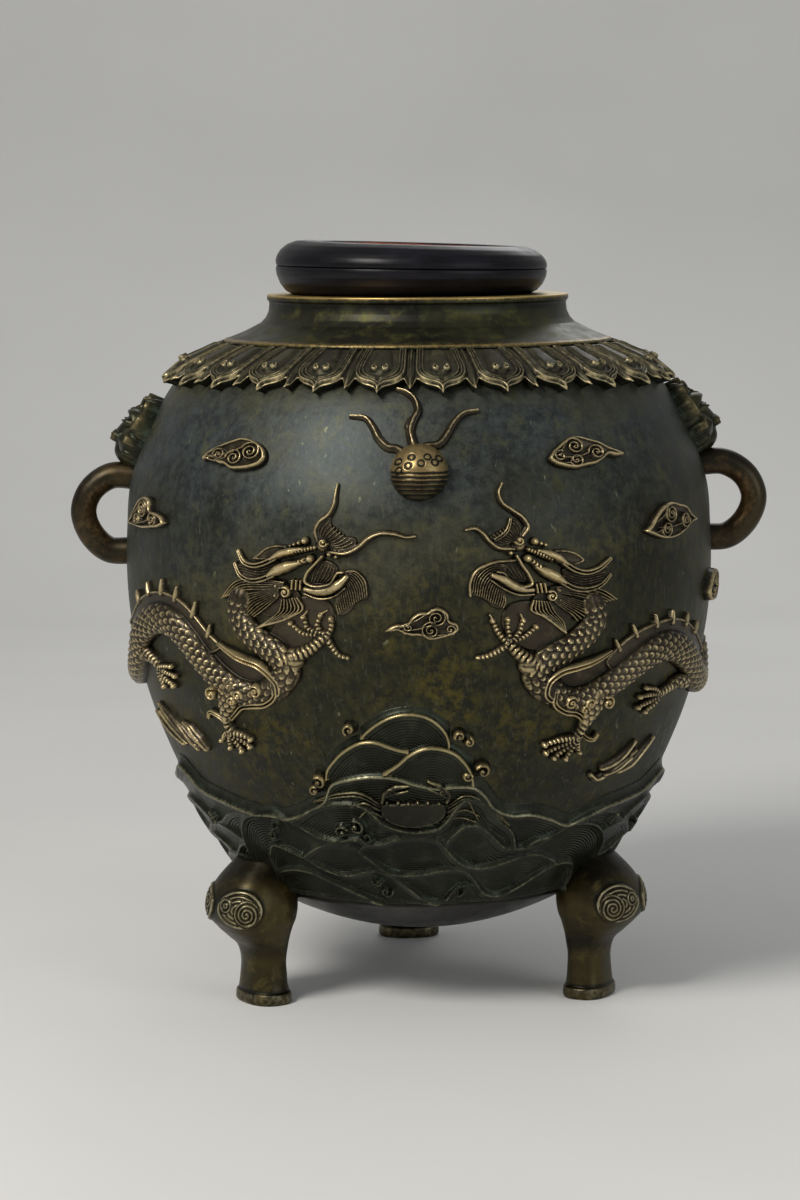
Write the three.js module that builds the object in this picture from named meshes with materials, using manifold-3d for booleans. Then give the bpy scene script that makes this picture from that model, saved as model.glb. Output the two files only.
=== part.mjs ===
// Bronze vase on three feet, with two loop handles, applied relief and a loose turned wooden ring.
// Millimetres, +Z up, origin on the floor under the centre; azimuth 0 faces the front (-Y), +90 is +X.
import * as THREE from 'three';
import { mergeVertices } from 'three/addons/utils/BufferGeometryUtils.js';
import Module from 'manifold-3d';

const wasm = await Module();
wasm.setup();

// Driving sizes of the body
const bellyRadius = 144;
const baseRadius = 86;
const shoulderRadius = 84;
const footHeight = 57;
const wallRiseHeight = 250;
const wallThickness = 3.5;
const baseRingHeight = 21;
const baseRingWidth = 20;
const baseRingInsetWidth = 10;
const jointGap = 0.3;
const reliefGap = 0.5;
const overrunLength = 6;

// Sizes of the neck and mouth
const neckRimWidth = 10.6;
const neckHeight = 24.5;
const neckRadius = 72.7;
const neckRimHeight = 6;
const lipRadius = 73.8;
const lipThickness = 3.2;
const mouthRadius = 52;
const spigotDepth = 9;
const spigotWidth = 4;

// Sizes of the bowl that closes the bottom
const bowlInsetWidth = 1.5;
const bowlRimThickness = 3;
const bowlDepth = 26;
const bowlThickness = 3;
const bowlSpigotHeight = 7;
const bowlStopShares = [0, 0.45, 0.75, 1];

// Sizes of the lotus collar
const petalCount = 26;
const petalTurn = 4.9;
const collarThickness = 6.2;
const petalReliefDepth = 2.4;
const petalReachLength = 6.5;
const petalFlareHeight = 2;
const sepalReachLength = 4.5;
const sepalFlareHeight = 1.6;
const collarEdgeShare = 0.64;

// Sizes of the wave band and its central mound
const bandThickness = 2;
const ridgeReliefHeight = 1.9;
const ridgeRiseHeight = 4;
const ridgeBackHeight = 1.6;
const crestThickness = 4.6;
const crestWidth = 3.4;
const tierThickness = 1.9;

// Sizes of the feet
const footTurn = 3.5;
const soleWidth = 31;
const soleDepth = 22;
const soleThickness = 5.5;
const soleOffsetLength = 6;
const ankleWidth = 24.8;
const ankleDepth = 18.9;
const kneeWidth = 42;
const kneeDepth = 41;
const kneeHeight = 47;
const kneeOffsetLength = 11.8;
const footCoverHeight = 21;
const tenonRadius = 4;
const tenonOffsetLength = 4;
const rivetRadius = 5.4;
const rivetThickness = 2.5;

// Sizes of the handles and the masks over them
const handleBarWidth = 13.4;
const handleReachLength = 28.5;
const handleSpanHeight = 37;
const handleRiseLeft = 194.5;
const handleRiseRight = 200;
const pegRadius = 3.5;
const pegInsideLength = 2.5;
const maskHeight = 29;
const maskHalfWidth = 19;
const maskThickness = 17;

// Sizes of the applied relief
const pearlRadius = 13.4;
const pearlRiseHeight = 207;
const flameWidth = 3;
const flameThickness = 2.2;
const cloudHeight = 17;
const cloudThickness = 4.2;
const bodyWidth = 16;
const bodyThickness = 6.5;
const neckWidth = 13;
const legWidth = 6;
const legThickness = 4.2;
const hornWidth = 3.4;
const hornThickness = 3.4;
const headThickness = 8.5;
const maneThickness = 3.2;
const wispWidth = 11;
const wispThickness = 3.8;
const spikeLength = 10;
const spikeRootShare = 0.034;
const spikeWidth = 2.6;
const spikeThickness = 3.2;
const tailLeadLength = 8;
const foamWidth = 3.6;
const foamThickness = 4.6;
const foamRadius = 4;
const crabWidth = 27;
const crabHeight = 14;
const crabThickness = 4.4;
const crabLegWidth = 2.6;

// Sizes of the wooden ring
const ringRadius = 66.5;
const ringSeatRadius = 59;
const ringTopRadius = 53;
const ringBoreRadius = 43;
const ringLowerHeight = 12.7;
const ringUpperHeight = 11.6;
const ringOffsetLength = 3;
const ringTaperHeight = 2.2;
const plugRadius = 48;
const plugDepth = 5;

// Facets of the round forms and the distance within which points are one
const weldDistance = 1e-4;
const turnedSegments = 28;
const barSides = 8;
const bandStepAngle = 6.6;

const degree = Math.PI / 180;
const lerp = THREE.MathUtils.lerp;

// Materials, as dark patinated bronze, worn bronze and lacquered wood
const bronze = new THREE.MeshStandardMaterial({ color: 0x4b4a33, roughness: 0.42, metalness: 0.85 });
const reliefBronze = new THREE.MeshStandardMaterial({ color: 0x6d6448, roughness: 0.38, metalness: 0.9 });
const wornBronze = new THREE.MeshStandardMaterial({ color: 0x7a6036, roughness: 0.32, metalness: 0.9 });
const darkBronze = new THREE.MeshStandardMaterial({ color: 0x2a2a20, roughness: 0.5, metalness: 0.8 });
const blackWood = new THREE.MeshStandardMaterial({ color: 0x17151a, roughness: 0.25, metalness: 0 });

// Outer wall of the body: radius shares between base and belly, or shoulder and belly, and rise shares
const lowerWallShares = [
  [0, 0], [0.147, 0.047], [0.33, 0.108], [0.51, 0.18],
  [0.658, 0.254], [0.79, 0.332], [0.9, 0.42], [0.972, 0.508],
];
const upperWallShares = [
  [1, 0.596], [0.993, 0.684], [0.96, 0.772], [0.9, 0.82], [0.8, 0.876], [0.69, 0.93],
  [0.567, 0.972], [0.433, 0.997], [0.2, 1.024], [0, 1.038],
];
const wallHeight = (riseShare) => footHeight + riseShare * wallRiseHeight;
const wallProfile = [
  ...lowerWallShares.map(([share, rise]) => [lerp(baseRadius, bellyRadius, share), wallHeight(rise)]),
  ...upperWallShares.map(([share, rise]) => [lerp(shoulderRadius, bellyRadius, share), wallHeight(rise)]),
].map(([radius, height]) => new THREE.Vector2(radius, height));
const shoulderTop = wallProfile[wallProfile.length - 1].y;
const lipHeight = shoulderTop + neckHeight;
const neckRootRadius = shoulderRadius + neckRimWidth;
const baseRingBoreRadius = baseRadius - baseRingInsetWidth;
const bowlRadius = baseRadius - bowlInsetWidth;
const soleRadius = baseRadius + soleOffsetLength;
const kneeRadius = baseRadius + kneeOffsetLength;
const tenonPlaceRadius = baseRadius + tenonOffsetLength;
const footTopHeight = footHeight + footCoverHeight;

// Radius of the wall and its outward slope at a height
const wallAt = (height) => {
  const last = wallProfile.length - 1;
  let upper = 1;
  while (upper < last && wallProfile[upper].y < height) upper += 1;
  const below = wallProfile[upper - 1];
  const above = wallProfile[upper];
  const share = (height - below.y) / (above.y - below.y);
  const slope = (above.x - below.x) / (above.y - below.y);
  const length = Math.hypot(1, slope);
  return { radius: lerp(below.x, above.x, share), outward: 1 / length, upward: -slope / length };
};

// A point that stands off the wall by lift, at an azimuth in degrees and a height
const wallPoint = (azimuth, height, lift) => {
  const wall = wallAt(height);
  const radius = wall.radius + lift * wall.outward;
  const angle = azimuth * degree;
  return new THREE.Vector3(radius * Math.sin(angle), -radius * Math.cos(angle), height + lift * wall.upward);
};

// A closed solid from rings of points, with flat ends or joined end to end
const signedVolume = (points, faces) => {
  const cross = new THREE.Vector3();
  return faces.reduce((sum, [a, b, c]) => sum + points[a].dot(cross.crossVectors(points[b], points[c])), 0);
};
const solidFromRings = (rings, closed = false) => {
  const points = rings.flat();
  const size = rings[0].length;
  const faces = [];
  const spans = closed ? rings.length : rings.length - 1;
  for (let ring = 0; ring < spans; ring += 1) {
    const next = (ring + 1) % rings.length;
    for (let side = 0; side < size; side += 1) {
      const a = ring * size + side;
      const b = ring * size + ((side + 1) % size);
      const c = next * size + ((side + 1) % size);
      const d = next * size + side;
      faces.push([a, b, c], [a, c, d]);
    }
  }
  if (!closed) {
    const end = (rings.length - 1) * size;
    for (let side = 1; side < size - 1; side += 1) {
      faces.push([0, side + 1, side], [end, end + side, end + side + 1]);
    }
  }
  if (signedVolume(points, faces) < 0) faces.forEach((face) => face.reverse());
  const geometry = new THREE.BufferGeometry();
  geometry.setAttribute('position', new THREE.Float32BufferAttribute(points.flatMap((p) => p.toArray()), 3));
  geometry.setIndex(faces.flat());
  return geometry;
};

// Booleans on closed meshes
const toSolid = (geometry) => {
  const plain = geometry.clone();
  const extras = Object.keys(plain.attributes).filter((name) => name !== 'position');
  extras.forEach((name) => plain.deleteAttribute(name));
  const merged = mergeVertices(plain, weldDistance);
  return new wasm.Manifold(new wasm.Mesh({
    numProp: 3,
    vertProperties: new Float32Array(merged.attributes.position.array),
    triVerts: new Uint32Array(merged.index.array),
  }));
};
const toGeometry = (solid) => {
  const mesh = solid.getMesh();
  const geometry = new THREE.BufferGeometry();
  geometry.setAttribute('position', new THREE.BufferAttribute(new Float32Array(mesh.vertProperties), 3));
  geometry.setIndex(new THREE.BufferAttribute(new Uint32Array(mesh.triVerts), 1));
  return geometry;
};
const united = (solids) => solids.reduce((whole, solid) => whole.add(solid));
const filled = (solid) => united(solid.decompose().filter((body) => body.volume() > 0));
const joined = (geometries) => toGeometry(filled(united(geometries.map(toSolid))));
const cutBy = (geometry, cutters) => toGeometry(
  cutters.map(toSolid).reduce((whole, cutter) => whole.subtract(cutter), toSolid(geometry)),
);

// A turned solid from radius and height pairs that go up outside and down inside
const turned = (profile, segments = turnedSegments) => {
  const points = profile.map(([radius, height]) => new THREE.Vector2(radius, height));
  return new THREE.LatheGeometry(points, segments).rotateX(Math.PI / 2);
};
const closedProfile = (points) => [...points, points[0]];

// A round bar with flat ends from one point to another
const bar = (from, to, radius) => {
  const length = from.distanceTo(to);
  const along = new THREE.Vector3().subVectors(to, from).normalize();
  const turn = new THREE.Quaternion().setFromUnitVectors(new THREE.Vector3(0, 1, 0), along);
  const geometry = new THREE.CylinderGeometry(radius, radius, length, barSides);
  return geometry.applyQuaternion(turn).translate(...from.clone().lerp(to, 0.5).toArray());
};

// The wall moved outwards by a distance, as a plain turned solid that clears the body
const offsetWall = (distance) => wallProfile.map((point) => {
  const { outward, upward } = wallAt(point.y);
  return [point.x + distance * outward, point.y + distance * upward];
});
const facetDepth = bellyRadius * (1 - Math.cos(Math.PI / turnedSegments));
const clearanceBody = (distance) => {
  const outer = offsetWall(distance);
  return turned([[0, outer[0][1]], ...outer, [0, outer[outer.length - 1][1]]]);
};

// A value read from a row of evenly spaced stops
const sampleRow = (row, share) => {
  const place = share * (row.length - 1);
  const stop = Math.min(Math.floor(place), row.length - 2);
  return lerp(row[stop], row[stop + 1], place - stop);
};

// A raised strip on the wall along a route of azimuths and rise shares
const strip = ({
  route, width, proud, base = reliefGap, widthShares = [1, 1], proudShares = [1, 1],
  steps = 8, facets = 3, backs = 1,
}) => {
  const stops = route.map(([azimuth, rise]) => (
    new THREE.Vector3(azimuth * degree * bellyRadius, wallHeight(rise), 0)
  ));
  const curve = new THREE.CatmullRomCurve3(stops, false, 'centripetal');
  const rings = [];
  for (let step = 0; step <= steps; step += 1) {
    const share = step / steps;
    const centre = curve.getPointAt(share);
    const tangent = curve.getTangentAt(share);
    const half = 0.5 * width * sampleRow(widthShares, share);
    const crest = proud * sampleRow(proudShares, share);
    const place = (side, lift) => {
      const height = centre.y + tangent.x * side;
      const across = -tangent.y * side * (bellyRadius / wallAt(height).radius);
      return wallPoint((centre.x + across) / bellyRadius / degree, height, base + lift);
    };
    const ring = [];
    for (let facet = 0; facet <= facets; facet += 1) {
      const angle = Math.PI * (facet / facets);
      ring.push(place(half * Math.cos(angle), crest * Math.sin(angle)));
    }
    for (let back = 1; back < backs; back += 1) ring.push(place(lerp(-half, half, back / backs), 0));
    rings.push(ring);
  }
  return solidFromRings(rings);
};
const mirrored = (route, side) => route.map(([azimuth, rise]) => [azimuth * side, rise]);

// Body: a cast shell with a thick ring at its lower edge, pierced for the feet and handles
const handleTopLeft = footHeight + handleRiseLeft;
const handleTopRight = footHeight + handleRiseRight;
const handleHeights = [handleTopLeft, handleTopRight].flatMap((top) => [top, top - handleSpanHeight]);
const footAzimuths = [-60, 60, 180].map((azimuth) => azimuth + footTurn);
const ringTopHeight = footHeight + baseRingHeight;
const handlePeg = (side, height, radius, extra) => bar(
  new THREE.Vector3(side * (wallAt(height).radius - wallThickness - pegInsideLength - extra), 0, height),
  new THREE.Vector3(side * (wallAt(height).radius + wallThickness), 0, height),
  radius,
);
const footTenon = (azimuth, radius, top) => {
  const angle = azimuth * degree;
  const across = tenonPlaceRadius * Math.sin(angle);
  const out = -tenonPlaceRadius * Math.cos(angle);
  const low = new THREE.Vector3(across, out, footHeight - overrunLength);
  return bar(low, new THREE.Vector3(across, out, top), radius);
};
const tenonHoles = () => footAzimuths.map((azimuth) => (
  footTenon(azimuth, around(tenonRadius), ringTopHeight + overrunLength)
));
const around = (radius) => (radius + jointGap) / Math.cos(Math.PI / barSides);
const bodyShell = () => {
  const inner = offsetWall(-wallThickness).filter(([, height], index, all) => (
    height > ringTopHeight + wallThickness && index < all.length - 2 && index % 3 === 0
  ));
  const profile = closedProfile([
    [baseRingBoreRadius, footHeight],
    ...wallProfile.map((point) => [point.x, point.y]),
    [shoulderRadius, shoulderTop - wallThickness],
    ...inner.reverse(),
    [baseRingBoreRadius + baseRingWidth, ringTopHeight],
    [baseRingBoreRadius, ringTopHeight],
  ]);
  const pegHoles = handleHeights.map((height, index) => (
    handlePeg(index < 2 ? -1 : 1, height, around(pegRadius), overrunLength)
  ));
  return cutBy(turned(profile), [...pegHoles, ...tenonHoles()]);
};

// Neck: flares from a rim on the shoulder to the mouth, with a spigot inside the body
const neckTopUnderside = lipHeight - lipThickness;
const neckShares = [[0.58, 0.16], [0.2, 0.41], [0.06, 0.6], [0, 0.95]];
const neck = () => {
  const seat = (radius) => {
    const share = (radius - shoulderRadius) / (bellyRadius - shoulderRadius);
    const [outside, inside] = upperWallShares.slice(-2);
    return wallHeight(lerp(inside[1], outside[1], share / outside[0])) + jointGap;
  };
  const rimTop = seat(neckRootRadius) + neckRimHeight;
  const outer = neckShares.map(([share, rise]) => [
    lerp(neckRadius, neckRootRadius, share), lerp(rimTop, neckTopUnderside, rise),
  ]);
  const inner = outer.filter((_, index) => index % 2 === 1)
    .map(([radius, height]) => [radius - wallThickness, height - wallThickness]).reverse();
  const spigotOuter = shoulderRadius - jointGap;
  return turned(closedProfile([
    [spigotOuter - spigotWidth, shoulderTop - spigotDepth],
    [spigotOuter, shoulderTop - spigotDepth],
    [spigotOuter, seat(spigotOuter)],
    [neckRootRadius, seat(neckRootRadius)],
    [neckRootRadius, rimTop],
    ...outer,
    [lipRadius, neckTopUnderside],
    [lipRadius, lipHeight],
    [mouthRadius, lipHeight],
    [mouthRadius, neckTopUnderside],
    ...inner,
    [spigotOuter - spigotWidth, seat(spigotOuter)],
  ]));
};

// Base bowl: a shallow turned dish whose spigot fits the bore of the body's lower ring
const baseBowl = () => {
  const rimTop = footHeight - jointGap;
  const bottom = rimTop - bowlRimThickness - bowlDepth;
  const stops = bowlStopShares;
  const spigotOuter = baseRingBoreRadius - jointGap;
  const spigotInner = spigotOuter - bowlThickness;
  const outside = stops.map((share) => [bowlRadius * share, bottom + bowlDepth * share * share]);
  const inside = stops.slice(0, -1).map((share) => [
    spigotInner * share, bottom + bowlThickness + (bowlDepth - bowlThickness) * share * share,
  ]).reverse();
  return turned([
    ...outside,
    [bowlRadius, rimTop],
    [spigotOuter, rimTop],
    [spigotOuter, rimTop + bowlSpigotHeight],
    [spigotInner, rimTop + bowlSpigotHeight],
    [spigotInner, rimTop - bowlRimThickness],
    ...inside,
  ]);
};

// Lotus collar: rimmed petals with a raised heart, and sepals between them, turned out over the shoulder
const collarInner = neckRootRadius + jointGap;
const collarOuterRadius = lerp(shoulderRadius, bellyRadius, collarEdgeShare);
const shoulderPoint = (radius, lift) => {
  const last = wallProfile.length - 1;
  let index = last;
  while (index > 1 && wallProfile[index - 1].x < radius) index -= 1;
  const inside = wallProfile[index];
  const outside = wallProfile[index - 1];
  const share = (radius - inside.x) / (outside.x - inside.x);
  const length = inside.distanceTo(outside);
  const outward = (inside.y - outside.y) / length;
  const upward = (outside.x - inside.x) / length;
  return [radius + lift * outward, lerp(inside.y, outside.y, share) + lift * upward];
};
const seatRadius = wallProfile[wallProfile.length - 3].x;
const collarMiddleShare = 0.6;
const sepalPlaceShare = 0.5;
const sepalHighShare = 0.65;
// Half a petal's columns: place in the pitch, then reach, flare and height of the relief
const halfPetalShares = [[0, 1, 1, 0.85], [0.4, 0.34, 0.3, 1], [0.45, 0.12, 0, 0]];
const petalColumns = () => {
  const half = halfPetalShares.map(([place, reach, flare, high]) => (
    { place, reach: reach * petalReachLength, flare: flare * petalFlareHeight, high }
  ));
  const sepal = {
    place: sepalPlaceShare, reach: sepalReachLength, flare: sepalFlareHeight, high: sepalHighShare,
  };
  const otherHalf = half.slice(1).reverse().map((column) => ({ ...column, place: 1 - column.place }));
  return [...half, sepal, ...otherHalf];
};
const lotusCollar = () => {
  const columns = [];
  for (let petal = 0; petal < petalCount; petal += 1) {
    petalColumns().forEach(({ place, reach, flare, high }) => {
      const angle = (petalTurn + (petal + place) * (360 / petalCount)) * degree;
      const at = ([radius, height]) => (
        new THREE.Vector3(radius * Math.sin(angle), -radius * Math.cos(angle), height)
      );
      const edge = collarOuterRadius + reach - petalReachLength;
      const middle = lerp(collarInner, edge, collarMiddleShare);
      const top = jointGap + collarThickness - (1 - high) * petalReliefDepth;
      columns.push([
        at(shoulderPoint(collarInner, jointGap)),
        at(shoulderPoint(collarInner, top)),
        at(shoulderPoint(middle, top)),
        at(shoulderPoint(edge, top + flare)),
        at(shoulderPoint(edge, jointGap + flare)),
        at(shoulderPoint(seatRadius, jointGap)),
      ]);
    });
  }
  return solidFromRings(columns, true);
};

// Wave band: a skin round the foot of the body with a thick rolled crest, as azimuths and rise shares,
// and three rows of wave ridges below it, as azimuths and shares of the band's height
const crestLineShares = [
  [-180, 0.17], [-168, 0.23], [-155, 0.19], [-142, 0.225], [-128, 0.175], [-114, 0.215], [-102, 0.17],
  [-90, 0.2], [-78, 0.205], [-68, 0.24], [-61, 0.205], [-52, 0.19], [-44, 0.178], [-32, 0.176], [-26, 0.195],
  [-22, 0.215], [-19, 0.256], [-15, 0.268], [-10, 0.272], [-4, 0.27], [3, 0.268], [8, 0.262], [11, 0.252],
  [14, 0.235], [16, 0.212], [20, 0.19], [26, 0.186], [31, 0.172],
  [37, 0.156], [42, 0.166], [47, 0.178], [55, 0.186], [63, 0.193], [74, 0.22], [86, 0.18], [98, 0.21],
  [110, 0.175], [124, 0.22], [138, 0.18], [152, 0.215], [166, 0.175], [180, 0.17],
];
const sharesAt = (stops, azimuth) => {
  const turnedAzimuth = THREE.MathUtils.euclideanModulo(azimuth + 180, 360) - 180;
  const next = stops.findIndex(([stop]) => stop > turnedAzimuth);
  const [start, ...from] = stops[next - 1];
  const [end, ...to] = stops[next];
  const share = (turnedAzimuth - start) / (end - start);
  return from.map((value, index) => lerp(value, to[index], share));
};
const crestHeight = (azimuth) => wallHeight(sharesAt(crestLineShares, azimuth)[0]);
const bandAzimuths = crestLineShares.slice(0, -1).flatMap(([azimuth], index) => {
  const span = crestLineShares[index + 1][0] - azimuth;
  const steps = Math.ceil(span / bandStepAngle);
  return Array.from({ length: steps }, (_, step) => azimuth + span * (step / steps));
});
const ridgeLineShares = [
  [-180, 0.6, 0.72, 0.85], [-160, 0.6, 0.72, 0.85], [-152, 0.22, 0.5, 0.74], [-140, 0.34, 0.6, 0.8],
  [-126, 0.16, 0.46, 0.72], [-112, 0.36, 0.58, 0.8], [-98, 0.18, 0.48, 0.74], [-86, 0.34, 0.56, 0.76],
  [-77, 0.3, 0.54, 0.8], [-73, 0.6, 0.72, 0.85], [-42, 0.6, 0.72, 0.85], [-38, 0.36, 0.62, 0.82],
  [-31, 0.34, 0.52, 0.82], [-27, 0.27, 0.43, 0.78], [-22, 0.16, 0.3, 0.66], [-17, 0.08, 0.27, 0.53],
  [-12, 0.14, 0.28, 0.49], [-7, 0.16, 0.27, 0.52], [-3, 0.1, 0.26, 0.55], [4, 0.06, 0.29, 0.53],
  [9, 0.12, 0.31, 0.46], [13, 0.22, 0.36, 0.66], [18, 0.12, 0.4, 0.7], [24, 0.09, 0.51, 0.66],
  [32, 0.25, 0.58, 0.76], [38, 0.36, 0.52, 0.8], [42, 0.42, 0.56, 0.8], [46, 0.6, 0.72, 0.85],
  [81, 0.6, 0.72, 0.85], [86, 0.3, 0.54, 0.76], [98, 0.2, 0.48, 0.72], [112, 0.36, 0.6, 0.8],
  [126, 0.18, 0.48, 0.74], [140, 0.36, 0.58, 0.8], [152, 0.2, 0.46, 0.74], [160, 0.3, 0.54, 0.8],
  [165, 0.6, 0.72, 0.85], [180, 0.6, 0.72, 0.85],
];
const ridgeHeights = (azimuth, crest) => (
  sharesAt(ridgeLineShares, azimuth).map((share) => lerp(footHeight, crest, share))
);
const bandMiddleShares = [0.35, 0.7];
const waveBand = () => {
  const columns = bandAzimuths.map((azimuth) => {
    const crest = crestHeight(azimuth);
    const at = (height, lift) => wallPoint(azimuth, height, reliefGap + lift);
    const middles = bandMiddleShares.map((share) => lerp(footHeight, crest, share));
    const ridges = ridgeHeights(azimuth, crest);
    return [
      at(footHeight, 0),
      at(footHeight, bandThickness),
      at(Math.max(footHeight + jointGap, ridges[0] - ridgeRiseHeight), bandThickness),
      ...ridges.flatMap((height) => [
        at(height, bandThickness + ridgeReliefHeight),
        at(height + ridgeBackHeight, bandThickness),
      ]),
      at(crest - crestWidth, bandThickness),
      at(crest, crestThickness),
      at(crest, 0),
      ...middles.map((height) => at(height, jointGap)).reverse(),
    ];
  });
  return cutBy(solidFromRings(columns, true), tenonHoles());
};

// Wave mound: three tiers of round-backed waves above the band at the front, as azimuths with the
// rise shares of their foot and of their crest
const tierShares = {
  wave_tier_upper: [
    [-11, 0.346, 0.356], [-8.5, 0.347, 0.376], [-5.5, 0.336, 0.39], [-2.5, 0.334, 0.394], [0.5, 0.338, 0.388],
    [3, 0.337, 0.374], [5, 0.333, 0.356],
  ],
  wave_tier_left: [
    [-19.4, 0.264, 0.276], [-18, 0.268, 0.3], [-15, 0.275, 0.324], [-12, 0.278, 0.338], [-9.5, 0.279, 0.34],
    [-7.5, 0.287, 0.335], [-5, 0.306, 0.325], [-4.2, 0.313, 0.322],
  ],
  wave_tier_right: [
    [-7, 0.277, 0.281], [-5, 0.277, 0.298], [-2.6, 0.277, 0.312], [0, 0.276, 0.33], [2, 0.275, 0.332],
    [4, 0.274, 0.328], [6, 0.272, 0.32], [8.4, 0.268, 0.302], [10, 0.262, 0.284],
  ],
};
const tierMiddleShare = 0.4;
const tierBackShare = 1.15;
const tierCrestShare = 1.9;
const waveTier = (outline) => {
  const columns = outline.map(([azimuth, footShare, crestShare]) => {
    const crest = wallHeight(crestShare);
    const foot = wallHeight(footShare);
    const middle = lerp(foot, crest, tierMiddleShare);
    const at = (height, lift) => wallPoint(azimuth, height, reliefGap + lift);
    return [
      at(foot, 0),
      at(foot, tierThickness),
      at(middle, tierThickness),
      at(Math.max(middle, crest - crestWidth), tierThickness * tierBackShare),
      at(crest, tierThickness * tierCrestShare),
      at(crest, 0),
      at(middle, 0),
    ];
  });
  return solidFromRings(columns);
};

// Foam curls: hooked ends of the waves, all of one form
const foamShares = {
  foam_curl_upper_left: [-13.9, 0.352],
  foam_curl_upper_right: [7.8, 0.345],
  foam_curl_lower_left: [-23.2, 0.262],
  foam_curl_lower_right: [13, 0.268],
};
const foamHookAngles = [200, 120, 40, -40, -110];
const foamCurl = ([azimuth, rise]) => {
  const turnShare = foamRadius / wallRiseHeight;
  const across = foamRadius / bellyRadius / degree;
  const hook = foamHookAngles.map((angle) => [
    azimuth + across * Math.cos(angle * degree), rise + turnShare * Math.sin(angle * degree),
  ]);
  return strip({
    route: hook, width: foamWidth, proud: foamThickness, base: jointGap, widthShares: [0.6, 1, 0.9],
    proudShares: [0.7, 1, 0.8], facets: 2,
  });
};

// Crab: a domed shell between the waves, with two claws and four pairs of legs
const crabBase = bandThickness + reliefGap + jointGap;
const crabAzimuth = -1.8;
const crabRiseShare = 0.196;
const crabLegProudShare = 0.6;
const crabLimbShares = [
  [[0.55, 0.022], [0.6, 0.045], [0.25, 0.055]],
  [[0.9, 0.012], [1.35, 0.03], [1.8, 0.008]],
  [[0.95, 0.004], [1.5, 0.016], [2.1, -0.012]],
  [[0.95, -0.006], [1.45, 0], [1.9, -0.03]],
];
const crab = () => {
  const half = 0.5 * crabWidth / bellyRadius / degree;
  const shell = strip({
    route: [-half, 0, half].map((across) => [crabAzimuth + across, crabRiseShare]),
    width: crabHeight, proud: crabThickness, base: crabBase, steps: 6, facets: 4,
    widthShares: [0.25, 0.95, 1, 0.95, 0.25], proudShares: [0.5, 1, 1, 1, 0.5],
  });
  const limbs = [-1, 1].flatMap((side) => crabLimbShares.map((route) => strip({
    route: route.map(([reach, rise]) => [crabAzimuth + side * reach * half, crabRiseShare + rise]),
    width: crabLegWidth, proud: crabThickness * crabLegProudShare, base: crabBase, steps: 3, facets: 2,
  })));
  return joined([shell, ...limbs]);
};

// Pearl: a domed boss with three tendrils of flame above it
const pearlHeight = footHeight + pearlRiseHeight;
const pearlProudShare = 0.8;
const pearlTopShare = 0.97;
const pearlHollowShare = 0.4;
const pearl = () => {
  const rings = [];
  const wall = wallAt(pearlHeight);
  const tiers = 4;
  const sides = 12;
  const place = (reach, lift, angle) => {
    const height = pearlHeight + reach * Math.sin(angle) * wall.outward;
    const azimuth = reach * Math.cos(angle) / wallAt(height).radius / degree;
    return wallPoint(azimuth, height, reliefGap + lift);
  };
  const addRing = (reach, lift) => {
    rings.push(Array.from({ length: sides }, (_, side) => place(reach, lift, side * 2 * Math.PI / sides)));
  };
  addRing(pearlRadius * pearlHollowShare, 0);
  for (let tier = 0; tier <= tiers; tier += 1) {
    const tierAngle = Math.min(tier / tiers, pearlTopShare) * Math.PI / 2;
    addRing(pearlRadius * Math.cos(tierAngle), pearlProudShare * pearlRadius * Math.sin(tierAngle));
  }
  return solidFromRings(rings);
};
const flameShares = {
  pearl_flame_left: [[-5.2, 0.872], [-7, 0.89], [-8.6, 0.91], [-9.8, 0.928], [-12, 0.93], [-14, 0.926]],
  pearl_flame_middle: [[-1.2, 0.897], [-1.8, 0.915], [-0.6, 0.94], [-1.6, 0.962]],
  pearl_flame_right: [[5, 0.872], [6, 0.892], [7.2, 0.914], [9, 0.932], [12, 0.934]],
};
const flame = (route) => strip({
  route, width: flameWidth, proud: flameThickness, facets: 2,
  widthShares: [1.3, 1, 1, 0.7], proudShares: [1, 1, 0.8],
});

// Clouds: a scrolled head with a drawn-out tail, left or right
const cloudShares = [
  { name: 'cloud_upper_left', middle: [-38, 0.848], reach: 9, side: -1 },
  { name: 'cloud_upper_right', middle: [34, 0.852], reach: 9, side: 1 },
  { name: 'cloud_side_left', middle: [-63, 0.735], reach: 8, side: -1 },
  { name: 'cloud_side_right', middle: [53, 0.722], reach: 8, side: 1 },
  { name: 'cloud_flank_right', middle: [78, 0.585], reach: 7, side: 1 },
  { name: 'cloud_middle', middle: [0.5, 0.56], reach: 8, side: -1 },
  { name: 'cloud_back_left', middle: [-142, 0.84], reach: 9, side: -1 },
  { name: 'cloud_back_right', middle: [142, 0.84], reach: 9, side: 1 },
  { name: 'cloud_back_middle', middle: [180, 0.6], reach: 8, side: 1 },
];
const cloud = ({ middle: [azimuth, rise], reach, side }) => {
  const lobe = (from, to, shift, widthShares, scale) => strip({
    route: [[azimuth + side * from * reach, rise + shift], [azimuth + side * to * reach, rise + shift]],
    width: cloudHeight * scale, proud: cloudThickness * scale, widthShares, proudShares: [0.5, 1, 1, 0.6],
    steps: 4,
  });
  return joined([
    lobe(-0.95, 0.6, 0, [0.35, 0.9, 1, 0.8, 0.5], 0.92),
    lobe(0.1, 1.05, -0.006, [1, 0.7, 0.4, 0.1], 0.75),
  ]);
};

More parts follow.
